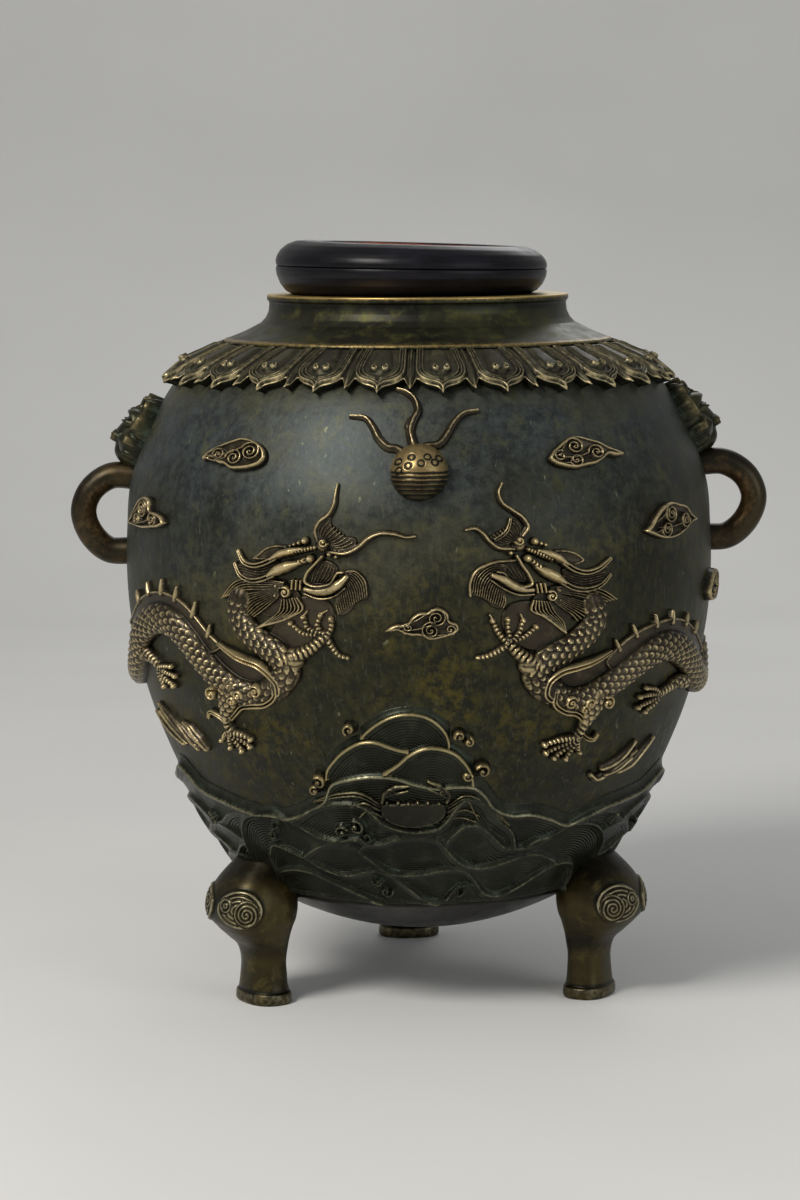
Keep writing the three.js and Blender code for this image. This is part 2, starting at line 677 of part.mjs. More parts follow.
// Dragons: routes as azimuths away from the front and rise shares, for the left and the right one
const dragonShares = {
  left: {
    side: -1,
    neck: [[33.8, 0.566], [34.2, 0.54], [31.5, 0.512], [27, 0.49]],
    chest: [[26, 0.49], [25.5, 0.466], [28, 0.432], [32.5, 0.418]],
    trunk: [
      [31, 0.418], [36, 0.424], [41, 0.444], [45, 0.476], [48.5, 0.514], [53, 0.54], [58, 0.545],
      [63, 0.528], [68, 0.496], [72, 0.456], [78, 0.42], [86, 0.4], [94, 0.42],
    ],
    foreleg: [[25, 0.486], [21.5, 0.504], [17.2, 0.528]],
    forepaw: [[17.2, 0.528], [16.2, 0.552], [17.5, 0.572], [20, 0.562]],
    hindleg: [[39, 0.42], [40, 0.375], [41, 0.348]],
    hindpaw: [[41, 0.348], [39.5, 0.33], [37.5, 0.312]],
    sideleg: [[67, 0.485], [63, 0.452], [59, 0.43]],
    sidepaw: [[59, 0.43], [57, 0.414], [56, 0.398]],
    wisp: [[63, 0.345], [59, 0.31], [55, 0.296], [51.5, 0.3]],
    spikes: [
      [42.6, 0.507, 150], [46.4, 0.548, 130], [51.6, 0.577, 110], [56.4, 0.586, 95], [62.4, 0.572, 70],
    ],
  },
  right: {
    side: 1,
    neck: [[33.6, 0.56], [33, 0.532], [29.5, 0.508], [24.5, 0.49]],
    chest: [[23.5, 0.484], [22.6, 0.456], [25.5, 0.42], [29.5, 0.405]],
    trunk: [
      [28.5, 0.405], [33.5, 0.41], [38, 0.43], [42.5, 0.452], [47, 0.472], [52, 0.485], [57, 0.48],
      [62, 0.46], [67, 0.435], [72, 0.41], [79, 0.39], [87, 0.39], [94, 0.42],
    ],
    foreleg: [[22, 0.484], [19, 0.498], [16, 0.522]],
    forepaw: [[16, 0.522], [14, 0.548], [15.5, 0.57], [18.5, 0.562]],
    hindleg: [[32.5, 0.4], [33.5, 0.37], [33, 0.338]],
    hindpaw: [[33, 0.338], [30, 0.325], [27, 0.312]],
    sideleg: [[62, 0.432], [59, 0.408], [55.5, 0.392]],
    sidepaw: [[55.5, 0.392], [52, 0.398], [49, 0.384]],
    wisp: [[54.5, 0.31], [50, 0.28], [45, 0.255], [40.5, 0.246]],
    spikes: [
      [39, 0.488, 130], [43.4, 0.514, 110], [49.4, 0.53, 100], [54.6, 0.53, 80], [60.4, 0.514, 60],
    ],
  },
};
const tailShares = [[110, 0.5], [120, 0.525], [130, 0.505], [138, 0.46], [147, 0.43], [156, 0.45]];
const tuftShares = [[9, 0.02], [10, -0.012], [6, 0.05]];
const headShares = {
  skull: [[15.8, 0.688], [18.6, 0.684], [21.8, 0.664], [25.4, 0.634]],
  brow: [[20.8, 0.7], [23.4, 0.682], [26.4, 0.664]],
  jaw: [[20.4, 0.628], [17.6, 0.624], [15, 0.632], [13.2, 0.64]],
  cheek: [[20.4, 0.63], [22.4, 0.62], [24.6, 0.608]],
  hornUpper: [[25.6, 0.67], [29, 0.654], [32.6, 0.654], [35.2, 0.674]],
  hornLower: [[25, 0.64], [28.6, 0.624], [32.4, 0.622], [35.4, 0.64]],
  whiskerUpper: [[18.4, 0.69], [19.2, 0.734], [17, 0.756], [15.4, 0.776], [15.4, 0.804]],
  mane: [[24.5, 0.6], [29, 0.6], [33.6, 0.604], [37.6, 0.594]],
  maneLower: [[24, 0.592], [26, 0.566], [28.6, 0.548]],
  beard: [[14.4, 0.625], [12.8, 0.61], [11.6, 0.588]],
};
const whiskerShares = {
  left: [[16, 0.69], [13.4, 0.684], [11, 0.7], [8.4, 0.72], [5.4, 0.724], [2.6, 0.715]],
  right: [[16, 0.69], [13.6, 0.696], [12, 0.716], [10, 0.728], [8.2, 0.724]],
};
const stepped = ([azimuth, rise], distance, angle) => [
  azimuth + distance * Math.cos(angle) / bellyRadius / degree,
  rise + distance * Math.sin(angle) / wallRiseHeight,
];
const clawWidthShare = 0.5;
const clawProudShare = 0.8;
const clawFan = (route, side, spread) => {
  const [[fromAzimuth, fromRise], [toAzimuth, toRise]] = route.slice(-2);
  const across = (toAzimuth - fromAzimuth) * degree * bellyRadius;
  const heading = Math.atan2((toRise - fromRise) * wallRiseHeight, across);
  const root = [toAzimuth, toRise];
  return spread.map((turn) => strip({
    route: mirrored([root, stepped(root, legWidth, heading + turn * degree)], side),
    width: legWidth * clawWidthShare, proud: legThickness * clawProudShare,
    widthShares: [1, 0.3], steps: 1, facets: 2,
  }));
};
const thighShare = 1.3;
const clawTurns = [-60, 0, 60];
const limb = (name, leg, paw) => {
  const routes = dragonShares[name];
  return cutBy(joined([
    strip({
      route: mirrored(routes[leg], routes.side), width: legWidth * thighShare, proud: legThickness,
      widthShares: [1.3, 0.9, 0.8], steps: 4,
    }),
    strip({
      route: mirrored(routes[paw], routes.side), width: legWidth,
      proud: legThickness * clawProudShare, steps: 3,
    }),
    ...clawFan(routes[paw], routes.side, clawTurns),
  ]), [dragonBody(name, jointGap)]);
};
const dragonHead = (name) => {
  const { side } = dragonShares[name];
  const part = (route, width, proud, widthShares, steps = 4, facets = 2) => strip({
    route: mirrored(route, side), width, proud, widthShares, proudShares: [0.8, 1, 0.7], steps, facets,
  });
  const mane = (route, width) => part(route, width, maneThickness, [0.8, 1, 0.8, 0.3], 3, 3);
  return cutBy(joined([
    part(headShares.skull, neckWidth * 0.8, headThickness, [0.6, 0.8, 1, 0.9], 4, 3),
    part(headShares.brow, hornWidth * 2, headThickness, [0.6, 1, 0.8]),
    part(headShares.jaw, hornWidth * 1.7, headThickness * 0.8, [1, 0.8, 1.1, 0.6], 4, 3),
    part(headShares.cheek, neckWidth * 0.7, headThickness * 0.7, [1, 1, 0.8]),
    part(headShares.hornUpper, hornWidth, hornThickness, [1.5, 1, 0.6]),
    part(headShares.hornLower, hornWidth, hornThickness, [1.5, 1, 0.6]),
    part(headShares.whiskerUpper, hornWidth * 0.8, hornThickness * 0.8, [1.3, 1, 0.6], 5),
    part(whiskerShares[name], hornWidth * 0.8, hornThickness * 0.8, [1.3, 1, 0.6], 5),
    mane(headShares.mane, neckWidth),
    mane(headShares.maneLower, neckWidth * 0.9),
    mane(headShares.beard, neckWidth * 1.2),
  ]), [dragonBody(name, jointGap)]);
};
const beyond = (route, distance) => {
  const [[fromAzimuth, fromRise], [toAzimuth, toRise]] = route.slice(-2);
  const across = (toAzimuth - fromAzimuth) * degree * bellyRadius;
  const up = (toRise - fromRise) * wallRiseHeight;
  const share = distance / Math.hypot(across, up);
  return [toAzimuth + share * (toAzimuth - fromAzimuth), toRise + share * (toRise - fromRise)];
};
const lengthened = (route, distance) => (
  distance > 0 ? [beyond([...route].reverse(), distance), ...route, beyond(route, distance)] : route
);
const dragonBody = (name, clearance = 0) => {
  const routes = dragonShares[name];
  const body = (route, width, widthShares, steps) => strip({
    route: mirrored(lengthened(route, clearance), routes.side),
    width: width + 2 * clearance, proud: bodyThickness + 2 * clearance, base: reliefGap - clearance,
    widthShares, proudShares: [0.8, 1, 1, 1, 0.8], steps,
  });
  const spikes = routes.spikes.map(([azimuth, rise, heading]) => {
    const root = [azimuth, rise - spikeRootShare];
    return strip({
      route: mirrored([root, stepped(root, spikeLength, heading * degree)], routes.side),
      width: spikeWidth, proud: spikeThickness, widthShares: [1.4, 0.3], steps: 1, facets: 2,
    });
  });
  return joined([
    body(routes.neck, neckWidth, [0.8, 1, 1.1], 6),
    body(routes.chest, bodyWidth, [0.8, 1, 1], 5),
    body(routes.trunk, bodyWidth, [0.9, 1, 1.05, 1, 0.9, 0.8], 20),
    ...spikes,
  ]);
};
const dragonTail = (name) => {
  const { side, trunk } = dragonShares[name];
  const [endAzimuth, endRise] = tailShares[tailShares.length - 1];
  const tufts = tuftShares.map(([reach, rise]) => strip({
    route: mirrored([[0, 0], [0.6, 0.3], [1, 1]].map(([along, up]) => [
      endAzimuth + reach * along, endRise + rise * up,
    ]), side),
    width: legWidth, proud: maneThickness, widthShares: [1, 0.8, 0.3], steps: 3, facets: 2,
  }));
  const route = [beyond(trunk, jointGap), beyond(trunk, tailLeadLength), ...tailShares];
  const tail = strip({
    route: mirrored(route, side), width: bodyWidth, proud: bodyThickness, widthShares: [0.75, 0.65, 0.5, 0.3],
    proudShares: [0.8, 0.7, 0.55, 0.4], steps: 12,
  });
  return cutBy(joined([tail, ...tufts]), [dragonBody(name, jointGap)]);
};
const wisp = (name) => {
  const { side, wisp: route } = dragonShares[name];
  return strip({
    route: mirrored(route, side), width: wispWidth, proud: wispThickness,
    widthShares: [0.3, 0.9, 1, 0.5], proudShares: [0.6, 1, 1, 0.8], steps: 6,
  });
};

// Feet: turned-in hoof, narrow ankle and bulging knee, with a riveted tenon through the body's lower ring, as
// shares of the rise to the knee and past it, and of reach, width and depth between ankle and knee
const footShares = [
  [0.02, 0, 0.25, 0.08], [0.23, 0, 0.07, 0.03], [0.377, 0, 0, 0], [0.547, 0.05, 0.12, 0.17],
  [0.728, 0.6, 0.55, 0.6], [0.892, 0.92, 0.92, 0.92], [1, 1, 1, 1], [1.194, 0.94, 0.94, 0.94],
  [1.387, 0.7, 0.7, 0.7], [1.613, 0.3, 0.3, 0.3], [2, -0.6, -0.1, 0],
];
const footRings = () => {
  const rise = (share) => (
    share <= 1 ? lerp(soleThickness, kneeHeight, share) : lerp(kneeHeight, footTopHeight, share - 1)
  );
  return [
    { height: 0, reach: soleRadius, width: soleWidth, depth: soleDepth },
    { height: soleThickness, reach: soleRadius, width: soleWidth, depth: soleDepth },
    ...footShares.map(([riseShare, reachShare, widthShare, depthShare]) => ({
      height: rise(riseShare),
      reach: lerp(soleRadius, kneeRadius, reachShare),
      width: lerp(ankleWidth, kneeWidth, widthShare),
      depth: lerp(ankleDepth, kneeDepth, depthShare),
    })),
  ];
};
const foot = () => {
  const sides = 8;
  const squareness = 0.8;
  const squared = (value) => Math.sign(value) * Math.abs(value) ** squareness;
  const corners = Array.from({ length: sides }, (_, side) => (side + 0.5) * 2 * Math.PI / sides);
  const rings = footRings().map(({ height, reach, width, depth }) => corners.map((angle) => new THREE.Vector3(
    0.5 * width * squared(Math.cos(angle)), -(reach + 0.5 * depth * squared(Math.sin(angle))), height,
  )));
  const rivetFoot = ringTopHeight + jointGap;
  const at = (height) => new THREE.Vector3(0, -tenonPlaceRadius, height);
  const cover = clearanceBody(bandThickness + reliefGap + jointGap + facetDepth);
  const leg = cutBy(solidFromRings(rings), [cover, bowlCover()]);
  return joined([
    leg,
    footTenon(0, tenonRadius, rivetFoot + 0.5 * rivetThickness),
    bar(at(rivetFoot), at(rivetFoot + rivetThickness), rivetRadius),
  ]);
};

// The space that the base bowl and the lower edge of the body take, with their clearance
const bowlCover = () => {
  const rimTop = footHeight - jointGap;
  const bottom = rimTop - bowlRimThickness - bowlDepth - jointGap;
  const stops = bowlStopShares;
  const edge = baseRadius + bandThickness;
  return turned([
    ...stops.map((share) => [(bowlRadius + jointGap) * share, bottom + bowlDepth * share * share]),
    [edge, footHeight - jointGap],
    [edge, footTopHeight + overrunLength],
    [0, footTopHeight + overrunLength],
  ]);
};

// Handles: a round bar bent into a loop, pegged through the wall at both ends
const handleShares = [[0.45, 0], [0.86, 0.2], [1, 0.46], [0.86, 0.76], [0.5, 0.98]];
const handle = (topHeight) => {
  const lowHeight = topHeight - handleSpanHeight;
  const outer = bellyRadius + handleReachLength - 0.5 * handleBarWidth;
  const topRoot = wallAt(topHeight).radius;
  const lowRoot = wallAt(lowHeight).radius;
  const path = new THREE.CatmullRomCurve3([
    new THREE.Vector3(topRoot - wallThickness, 0, topHeight),
    ...handleShares.map(([reach, drop]) => (
      new THREE.Vector3(lerp(topRoot, outer, reach), 0, lerp(topHeight, lowHeight, drop))
    )),
    new THREE.Vector3(lowRoot - wallThickness, 0, lowHeight),
  ], false, 'centripetal');
  const section = new THREE.Shape().absarc(0, 0, 0.5 * handleBarWidth, 0, 2 * Math.PI, false);
  const loop = new THREE.ExtrudeGeometry(section, { steps: 13, curveSegments: 4, extrudePath: path });
  return joined([
    cutBy(loop, [clearanceBody(jointGap)]),
    ...[topHeight, lowHeight].map((height) => handlePeg(1, height, pegRadius, 0)),
  ]);
};

// Masks: a beast's face that bites the root of the handle, with brows, ears and a blunt muzzle
const maskFeatureShares = [
  [[0.1, 0.56], [0.45, 0.66], [0.75, 0.6]],
  [[0.7, 0.78], [1, 0.7], [0.95, 0.5]],
];
const mask = (topHeight, side) => {
  const lowest = (topHeight + 0.5 * handleBarWidth + jointGap - footHeight) / wallRiseHeight;
  const highest = lowest + maskHeight / wallRiseHeight;
  const at = (across, share) => [
    side * 90 + across * maskHalfWidth / bellyRadius / degree, lerp(lowest, highest, share),
  ];
  const face = strip({
    route: [at(0, 0.06), at(0, 0.5), at(0, 1)], width: 2 * maskHalfWidth, proud: maskThickness * 0.75,
    base: 2 * reliefGap,
    widthShares: [0.5, 0.85, 0.85, 1, 0.85], proudShares: [0.9, 0.95, 0.8, 0.7, 0.3],
    steps: 5, facets: 4, backs: 2,
  });
  const muzzle = strip({
    route: [at(0, 0.01), at(0, 0.42)], width: maskHalfWidth * 1.1, proud: maskThickness,
    widthShares: [0.8, 1, 0.8], proudShares: [0.8, 1, 0.85], steps: 3,
  });
  const features = [-1, 1].flatMap((half) => maskFeatureShares.map((route) => strip({
    route: route.map(([across, share]) => at(half * across, share)),
    width: maskHalfWidth * 0.42, proud: maskThickness * 0.9,
    widthShares: [0.8, 1, 0.6], proudShares: [1, 0.9, 0.5], steps: 2, facets: 2,
  })));
  return joined([face, muzzle, ...features]);
};

// Wooden ring: two turned halves with a plug below, a little thicker on the left
const taper = (geometry, floor, height) => {
  const { position } = geometry.attributes;
  for (let index = 0; index < position.count; index += 1) {
    const rise = Math.max(0, position.getZ(index) - floor) / height;
    position.setZ(index, position.getZ(index) - rise * ringTaperHeight * (position.getX(index) / ringRadius));
  }
  return geometry;
};
const ringFloor = lipHeight + jointGap;
const ringSeam = ringFloor + ringLowerHeight;
const ringHeight = ringLowerHeight + ringUpperHeight + jointGap;
const ringLowerShares = [[0.6, 0.24], [0.92, 0.6]];
const ringUpperShares = [[0.95, 0.3], [0.72, 0.68], [0, 1]];
const ringLower = () => taper(turned(closedProfile([
  [ringBoreRadius, ringFloor - plugDepth],
  [plugRadius, ringFloor - plugDepth],
  [plugRadius, ringFloor],
  [ringSeatRadius, ringFloor],
  ...ringLowerShares.map(([share, rise]) => [
    lerp(ringSeatRadius, ringRadius, share), lerp(ringFloor, ringSeam, rise),
  ]),
  [ringRadius, ringSeam],
  [ringBoreRadius, ringSeam],
])), ringFloor, ringHeight);
const ringUpper = () => {
  const floor = ringSeam + jointGap;
  const top = floor + ringUpperHeight;
  return taper(turned(closedProfile([
    [ringBoreRadius, floor],
    [ringRadius, floor],
    ...ringUpperShares.map(([share, rise]) => [
      lerp(ringTopRadius, ringRadius, share), lerp(floor, top, rise),
    ]),
    [ringBoreRadius, top],
  ])), ringFloor, ringHeight);
};

// Assembly
const vase = new THREE.Group();
const addPiece = (parent, name, geometry, material) => {
  const mesh = new THREE.Mesh(geometry, material);
  mesh.name = name;
  parent.add(mesh);
};
addPiece(vase, 'body_shell', bodyShell(), bronze);
addPiece(vase, 'neck', neck(), bronze);
addPiece(vase, 'base_bowl', baseBowl(), darkBronze);
addPiece(vase, 'lotus_collar', lotusCollar(), reliefBronze);
addPiece(vase, 'wave_band', waveBand(), reliefBronze);
Object.entries(tierShares).forEach(([name, outline]) => {
  addPiece(vase, name, waveTier(outline), reliefBronze);
});
Object.entries(foamShares).forEach(([name, place]) => addPiece(vase, name, foamCurl(place), wornBronze));
addPiece(vase, 'crab', crab(), reliefBronze);
addPiece(vase, 'pearl', pearl(), wornBronze);
Object.entries(flameShares).forEach(([name, route]) => addPiece(vase, name, flame(route), wornBronze));
cloudShares.forEach((place) => addPiece(vase, place.name, cloud(place), reliefBronze));
['left', 'right'].forEach((name) => {
  addPiece(vase, `dragon_${name}_head`, dragonHead(name), reliefBronze);
  addPiece(vase, `dragon_${name}_body`, dragonBody(name), reliefBronze);
  addPiece(vase, `dragon_${name}_tail`, dragonTail(name), reliefBronze);
  addPiece(vase, `dragon_${name}_foreleg`, limb(name, 'foreleg', 'forepaw'), reliefBronze);
  addPiece(vase, `dragon_${name}_hindleg`, limb(name, 'hindleg', 'hindpaw'), reliefBronze);
  addPiece(vase, `dragon_${name}_sideleg`, limb(name, 'sideleg', 'sidepaw'), reliefBronze);
  addPiece(vase, `dragon_${name}_wisp`, wisp(name), reliefBronze);
});
const footShape = foot();
['foot_left', 'foot_right', 'foot_back'].forEach((name, index) => {
  const stance = new THREE.Group();
  stance.rotation.z = footAzimuths[index] * degree;
  addPiece(stance, name, footShape.clone(), wornBronze);
  vase.add(stance);
});
const leftSide = new THREE.Group();
leftSide.rotation.z = Math.PI;
addPiece(leftSide, 'handle_left', handle(handleTopLeft), wornBronze);
vase.add(leftSide);
addPiece(vase, 'handle_right', handle(handleTopRight), wornBronze);
addPiece(vase, 'mask_left', mask(handleTopLeft, -1), reliefBronze);
addPiece(vase, 'mask_right', mask(handleTopRight, 1), reliefBronze);
const looseRing = new THREE.Group();
looseRing.position.x = -ringOffsetLength;
addPiece(looseRing, 'wood_ring_lower', ringLower(), blackWood);
addPiece(looseRing, 'wood_ring_upper', ringUpper(), blackWood);
vase.add(looseRing);

export default vase;
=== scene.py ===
"""A bronze tripod vase: relief dragons over waves, a lotus collar, and a loose wooden ring on its mouth."""
import math
from functools import partial

import bmesh
import bpy
import numpy as np
from mathutils import Matrix, Vector


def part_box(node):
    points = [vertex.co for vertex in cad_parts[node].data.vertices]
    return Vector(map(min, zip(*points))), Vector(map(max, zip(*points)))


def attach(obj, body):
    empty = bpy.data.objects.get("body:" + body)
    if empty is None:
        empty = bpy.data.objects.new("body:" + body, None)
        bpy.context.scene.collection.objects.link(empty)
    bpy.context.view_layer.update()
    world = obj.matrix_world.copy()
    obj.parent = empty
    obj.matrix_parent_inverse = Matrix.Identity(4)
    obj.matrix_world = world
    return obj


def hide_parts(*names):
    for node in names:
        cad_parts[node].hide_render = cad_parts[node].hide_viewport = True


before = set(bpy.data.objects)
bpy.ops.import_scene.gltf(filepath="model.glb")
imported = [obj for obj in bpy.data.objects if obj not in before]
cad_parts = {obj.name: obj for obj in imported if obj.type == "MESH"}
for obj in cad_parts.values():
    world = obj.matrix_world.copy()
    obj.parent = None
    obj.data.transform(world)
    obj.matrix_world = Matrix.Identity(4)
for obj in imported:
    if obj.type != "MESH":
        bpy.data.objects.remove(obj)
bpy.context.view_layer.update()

MM = 0.001
TURN = 2 * math.pi
LOW, HIGH = 0, 1
X, Z = 0, 2
rng = np.random.default_rng(7)


def corner(node, end, axis):
    """One end of a CAD node along one axis, in millimetres."""
    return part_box(node)[end][axis] / MM


# Sizes in millimetres
BELLY_RADIUS = corner("body_shell", HIGH, X)
FOOT_HEIGHT = corner("body_shell", LOW, Z)
LIP_HEIGHT = corner("neck", HIGH, Z)
BASE_RADIUS = 86
SHOULDER_RADIUS = 84
WALL_RISE = 250
WALL_THICKNESS = 3.5
RING_BORE = 76
RING_HEIGHT = 21

# Radius shares from the foot or the shoulder to the belly, with shares of the wall's rise
LOWER_WALL = [
    (0, 0), (0.147, 0.047), (0.33, 0.108), (0.51, 0.18),
    (0.658, 0.254), (0.79, 0.332), (0.9, 0.42), (0.972, 0.508),
]
UPPER_WALL = [
    (1, 0.596), (0.993, 0.684), (0.96, 0.772), (0.9, 0.82), (0.8, 0.876),
    (0.69, 0.93), (0.567, 0.972), (0.433, 0.997), (0.2, 1.024), (0, 1.038),
]


def curve(points, step):
    """Points about one step apart on a smooth line through the given ones."""
    points = np.asarray(points, float)
    gaps = np.linalg.norm(np.diff(points, axis=0), axis=1)
    stops = np.concatenate([[0], np.cumsum(gaps)])
    slopes = np.gradient(points, stops, axis=0)
    spots = np.linspace(0, stops[-1], max(2, math.ceil(stops[-1] / step) + 1))
    at = np.clip(np.searchsorted(stops, spots, side="right") - 1, 0, len(gaps) - 1)
    span = gaps[at][:, None]
    u = (spots - stops[at])[:, None] / span
    return ((2 * u ** 3 - 3 * u ** 2 + 1) * points[at] + (u ** 3 - 2 * u ** 2 + u) * span * slopes[at]
            + (3 * u ** 2 - 2 * u ** 3) * points[at + 1] + (u ** 3 - u ** 2) * span * slopes[at + 1])


def lengths(line):
    """Distance along a line to each of its points."""
    return np.concatenate([[0], np.cumsum(np.linalg.norm(np.diff(line, axis=0), axis=1))])


def mix(low, high, share):
    return low + (high - low) * share


wall = curve(
    [(mix(BASE_RADIUS, BELLY_RADIUS, out), FOOT_HEIGHT + WALL_RISE * rise) for out, rise in LOWER_WALL]
    + [(mix(SHOULDER_RADIUS, BELLY_RADIUS, out), FOOT_HEIGHT + WALL_RISE * rise) for out, rise in UPPER_WALL],
    0.5)
wall_arc = lengths(wall)
wall_normal = np.gradient(wall, wall_arc, axis=0)[:, ::-1] * [1, -1]
wall_normal /= np.linalg.norm(wall_normal, axis=1)[:, None]


def arc_at(height):
    """Distance up the wall's outline at a height."""
    return np.interp(height, wall[:, 1], wall_arc)


def radius_at(height):
    return np.interp(height, wall[:, 1], wall[:, 0])


def along_wall(pairs, arc):
    """Both values of the outline's points or normals at distances up the outline."""
    return [np.interp(arc, wall_arc, pairs[:, axis]) for axis in (0, 1)]


def round_axis(radius, angle, height):
    """Points round the upright axis, from the angle off the front."""
    return np.stack(np.broadcast_arrays(radius * np.sin(angle), -radius * np.cos(angle), height), -1)


def on_wall(angle, arc, lift):
    """Points that stand proud of the wall, from the angle off the front and the distance up the outline."""
    (radius, height), (out, up) = along_wall(wall, arc), along_wall(wall_normal, arc)
    return round_axis(radius + lift * out, angle, height + lift * up)


# Meshes
def add_mesh(name, points, faces, fields=None, weld=False):
    """A smooth-shaded object from points in millimetres, four-sided faces and values at the points."""
    mesh = bpy.data.meshes.new(name)
    faces = np.asarray(faces, dtype=np.int32)
    mesh.vertices.add(len(points))
    mesh.vertices.foreach_set("co", (np.asarray(points, float) * MM).ravel())
    mesh.loops.add(faces.size)
    mesh.loops.foreach_set("vertex_index", faces.ravel())
    mesh.polygons.add(len(faces))
    mesh.polygons.foreach_set("loop_start", np.arange(0, faces.size, faces.shape[1], dtype=np.int32))
    mesh.polygons.foreach_set("use_smooth", np.ones(len(faces), dtype=bool))
    for key, values in (fields or {}).items():
        layer = mesh.attributes.new(key, "FLOAT", "POINT")
        layer.data.foreach_set("value", np.asarray(values, float).ravel())
    mesh.update(calc_edges=True)
    if weld:
        shape = bmesh.new()
        shape.from_mesh(mesh)
        bmesh.ops.remove_doubles(shape, verts=shape.verts, dist=0.01 * MM)
        shape.to_mesh(mesh)
        shape.free()
    piece = bpy.data.objects.new(name, mesh)
    bpy.context.scene.collection.objects.link(piece)
    return piece


def grid_faces(rows, columns, close_rows=False, close_columns=False):
    """Faces of a grid of points that is stored row by row."""
    index = np.arange(rows * columns).reshape(rows, columns)
    if close_columns:
        index = np.concatenate([index, index[:, :1]], 1)
    if close_rows:
        index = np.concatenate([index, index[:1]], 0)
    return np.stack([index[:-1, :-1], index[:-1, 1:], index[1:, 1:], index[1:, :-1]], -1).reshape(-1, 4)


def kept(points, faces, keep, fields):
    """The points, faces and values that are left when only some faces are kept."""
    faces = faces[keep]
    used = np.zeros(len(points), bool)
    used[faces.ravel()] = True
    place = np.cumsum(used) - 1
    return points[used], place[faces], {key: values.ravel()[used] for key, values in fields.items()}


def rounded(outline, reach, steps=5):
    """A closed outline with each corner turned into a small bend."""
    outline = np.asarray(outline, float)
    bends = []
    for before, point, after in zip(np.roll(outline, 1, 0), outline, np.roll(outline, -1, 0)):
        to_before, to_after = before - point, after - point
        start = point + to_before * min(reach / np.linalg.norm(to_before), 0.4)
        end = point + to_after * min(reach / np.linalg.norm(to_after), 0.4)
        for u in np.linspace(0, 1, steps):
            bends.append((1 - u) ** 2 * start + 2 * u * (1 - u) * point + u * u * end)
    return np.array(bends)


def turned(name, outline, columns=180, closed=True, fields=None, shift=(0, 0), weld=False):
    """A body of revolution from an outline of radius and height, anticlockwise with the axis on the left."""
    outline = np.asarray(outline, float)
    angle = np.linspace(0, TURN, columns, endpoint=False)
    points = round_axis(outline[:, :1], angle, outline[:, 1:]).reshape(-1, 3) + [*shift, 0]
    spread = {key: np.repeat(np.asarray(values, float)[:, None], columns, 1)
              for key, values in (fields or {}).items()}
    faces = grid_faces(len(outline), columns, close_rows=closed, close_columns=True)
    return add_mesh(name, points, faces, spread, weld)


# Height maps
SHEET_FLOOR = -1.0
LINE_STEP = 0.9
EDGE_REACH = 1.2
EDGE_SLOPE = 1.3
FAR = 1e6


def blurred(field, cells, around=False):
    """A height map softened twice over that many cells each way."""
    cells = max(1, int(cells))
    for axis in (0, 1, 0, 1):
        wide = "wrap" if around and axis == 1 else "edge"
        pad = [(cells + 1, cells) if side == axis else (0, 0) for side in (0, 1)]
        total = np.cumsum(np.pad(field, pad, mode=wide), axis)
        size = field.shape[axis]
        upper = np.take(total, np.arange(2 * cells + 1, 2 * cells + 1 + size), axis)
        lower = np.take(total, np.arange(size), axis)
        field = (upper - lower) / (2 * cells + 1)
    return field


def dome(u):
    """A rounded rise: 1 in the middle and 0 from the edge on."""
    return np.sqrt(np.clip(1 - u * u, 0, 1))


def hump(values, middle, half):
    """1 where the values are at the middle and near 0 well over the half width away."""
    return np.exp(-((values - middle) / half) ** 2)


class Trace:
    """How points of a sheet lie to a line: distance, signed distance across and place along."""

    def __init__(self, sheet, line, reach):
        low = np.floor((line.min(0) - reach - sheet.low) / sheet.pitch).astype(int)
        high = np.ceil((line.max(0) + reach - sheet.low) / sheet.pitch).astype(int) + 1
        self.columns = slice(max(low[0], 0), min(max(high[0], 0), sheet.size[0]))
        self.rows = slice(max(low[1], 0), min(max(high[1], 0), sheet.size[1]))
        xs, ys = sheet.x[self.columns], sheet.y[self.rows]
        self.distance = np.full((len(ys), len(xs)), FAR)
        self.across = np.zeros_like(self.distance)
        self.along = np.zeros_like(self.distance)
        stops = lengths(line)
        self.length = stops[-1]
        for a, b, stop in zip(line, line[1:], stops):
            span = math.hypot(*(b - a))
            if span == 0:
                continue
            cols = slice(*np.searchsorted(xs, [min(a[0], b[0]) - reach, max(a[0], b[0]) + reach]))
            rows = slice(*np.searchsorted(ys, [min(a[1], b[1]) - reach, max(a[1], b[1]) + reach]))
            dx, dy = xs[None, cols] - a[0], ys[rows, None] - a[1]
            ux, uy = (b - a) / span
            ahead = dx * ux + dy * uy
            side = dy * ux - dx * uy
            place = np.clip(ahead, 0, span)
            gap = np.hypot(ahead - place, side)
            nearer = gap < self.distance[rows, cols]
            self.distance[rows, cols][nearer] = gap[nearer]
            self.across[rows, cols][nearer] = side[nearer]
            self.along[rows, cols][nearer] = (stop + place)[nearer]

    def spread(self, values):
        """One value, or several at even steps along the line, at each point."""
        values = np.atleast_1d(np.asarray(values, float))
        if len(values) == 1:
            return np.full_like(self.along, values[0])
        share = self.along / max(self.length, 1e-6)
        return np.interp(share, np.linspace(0, 1, len(values)), values)


# What a stroke looks like: each takes the trace, the half width and the height, and gives a height
def plain(t, half, high):
    return high * dome(t.distance / half)


def twin(t, half, high):
    """Two raised rims with a groove between them."""
    rims = dome((np.abs(t.across) / half - 0.56) / 0.44)
    return high * (0.4 * dome(t.distance / half) ** 0.5 + 0.6 * rims)


def ridged(t, half, high):
    """A round bar with a sharper back and a fine line beside it."""
    back = dome(t.across / half / 0.42)
    line = dome((t.across / half + 0.66) / 0.2)
    return high * (0.68 * dome(t.distance / half) + 0.32 * back + 0.1 * line)


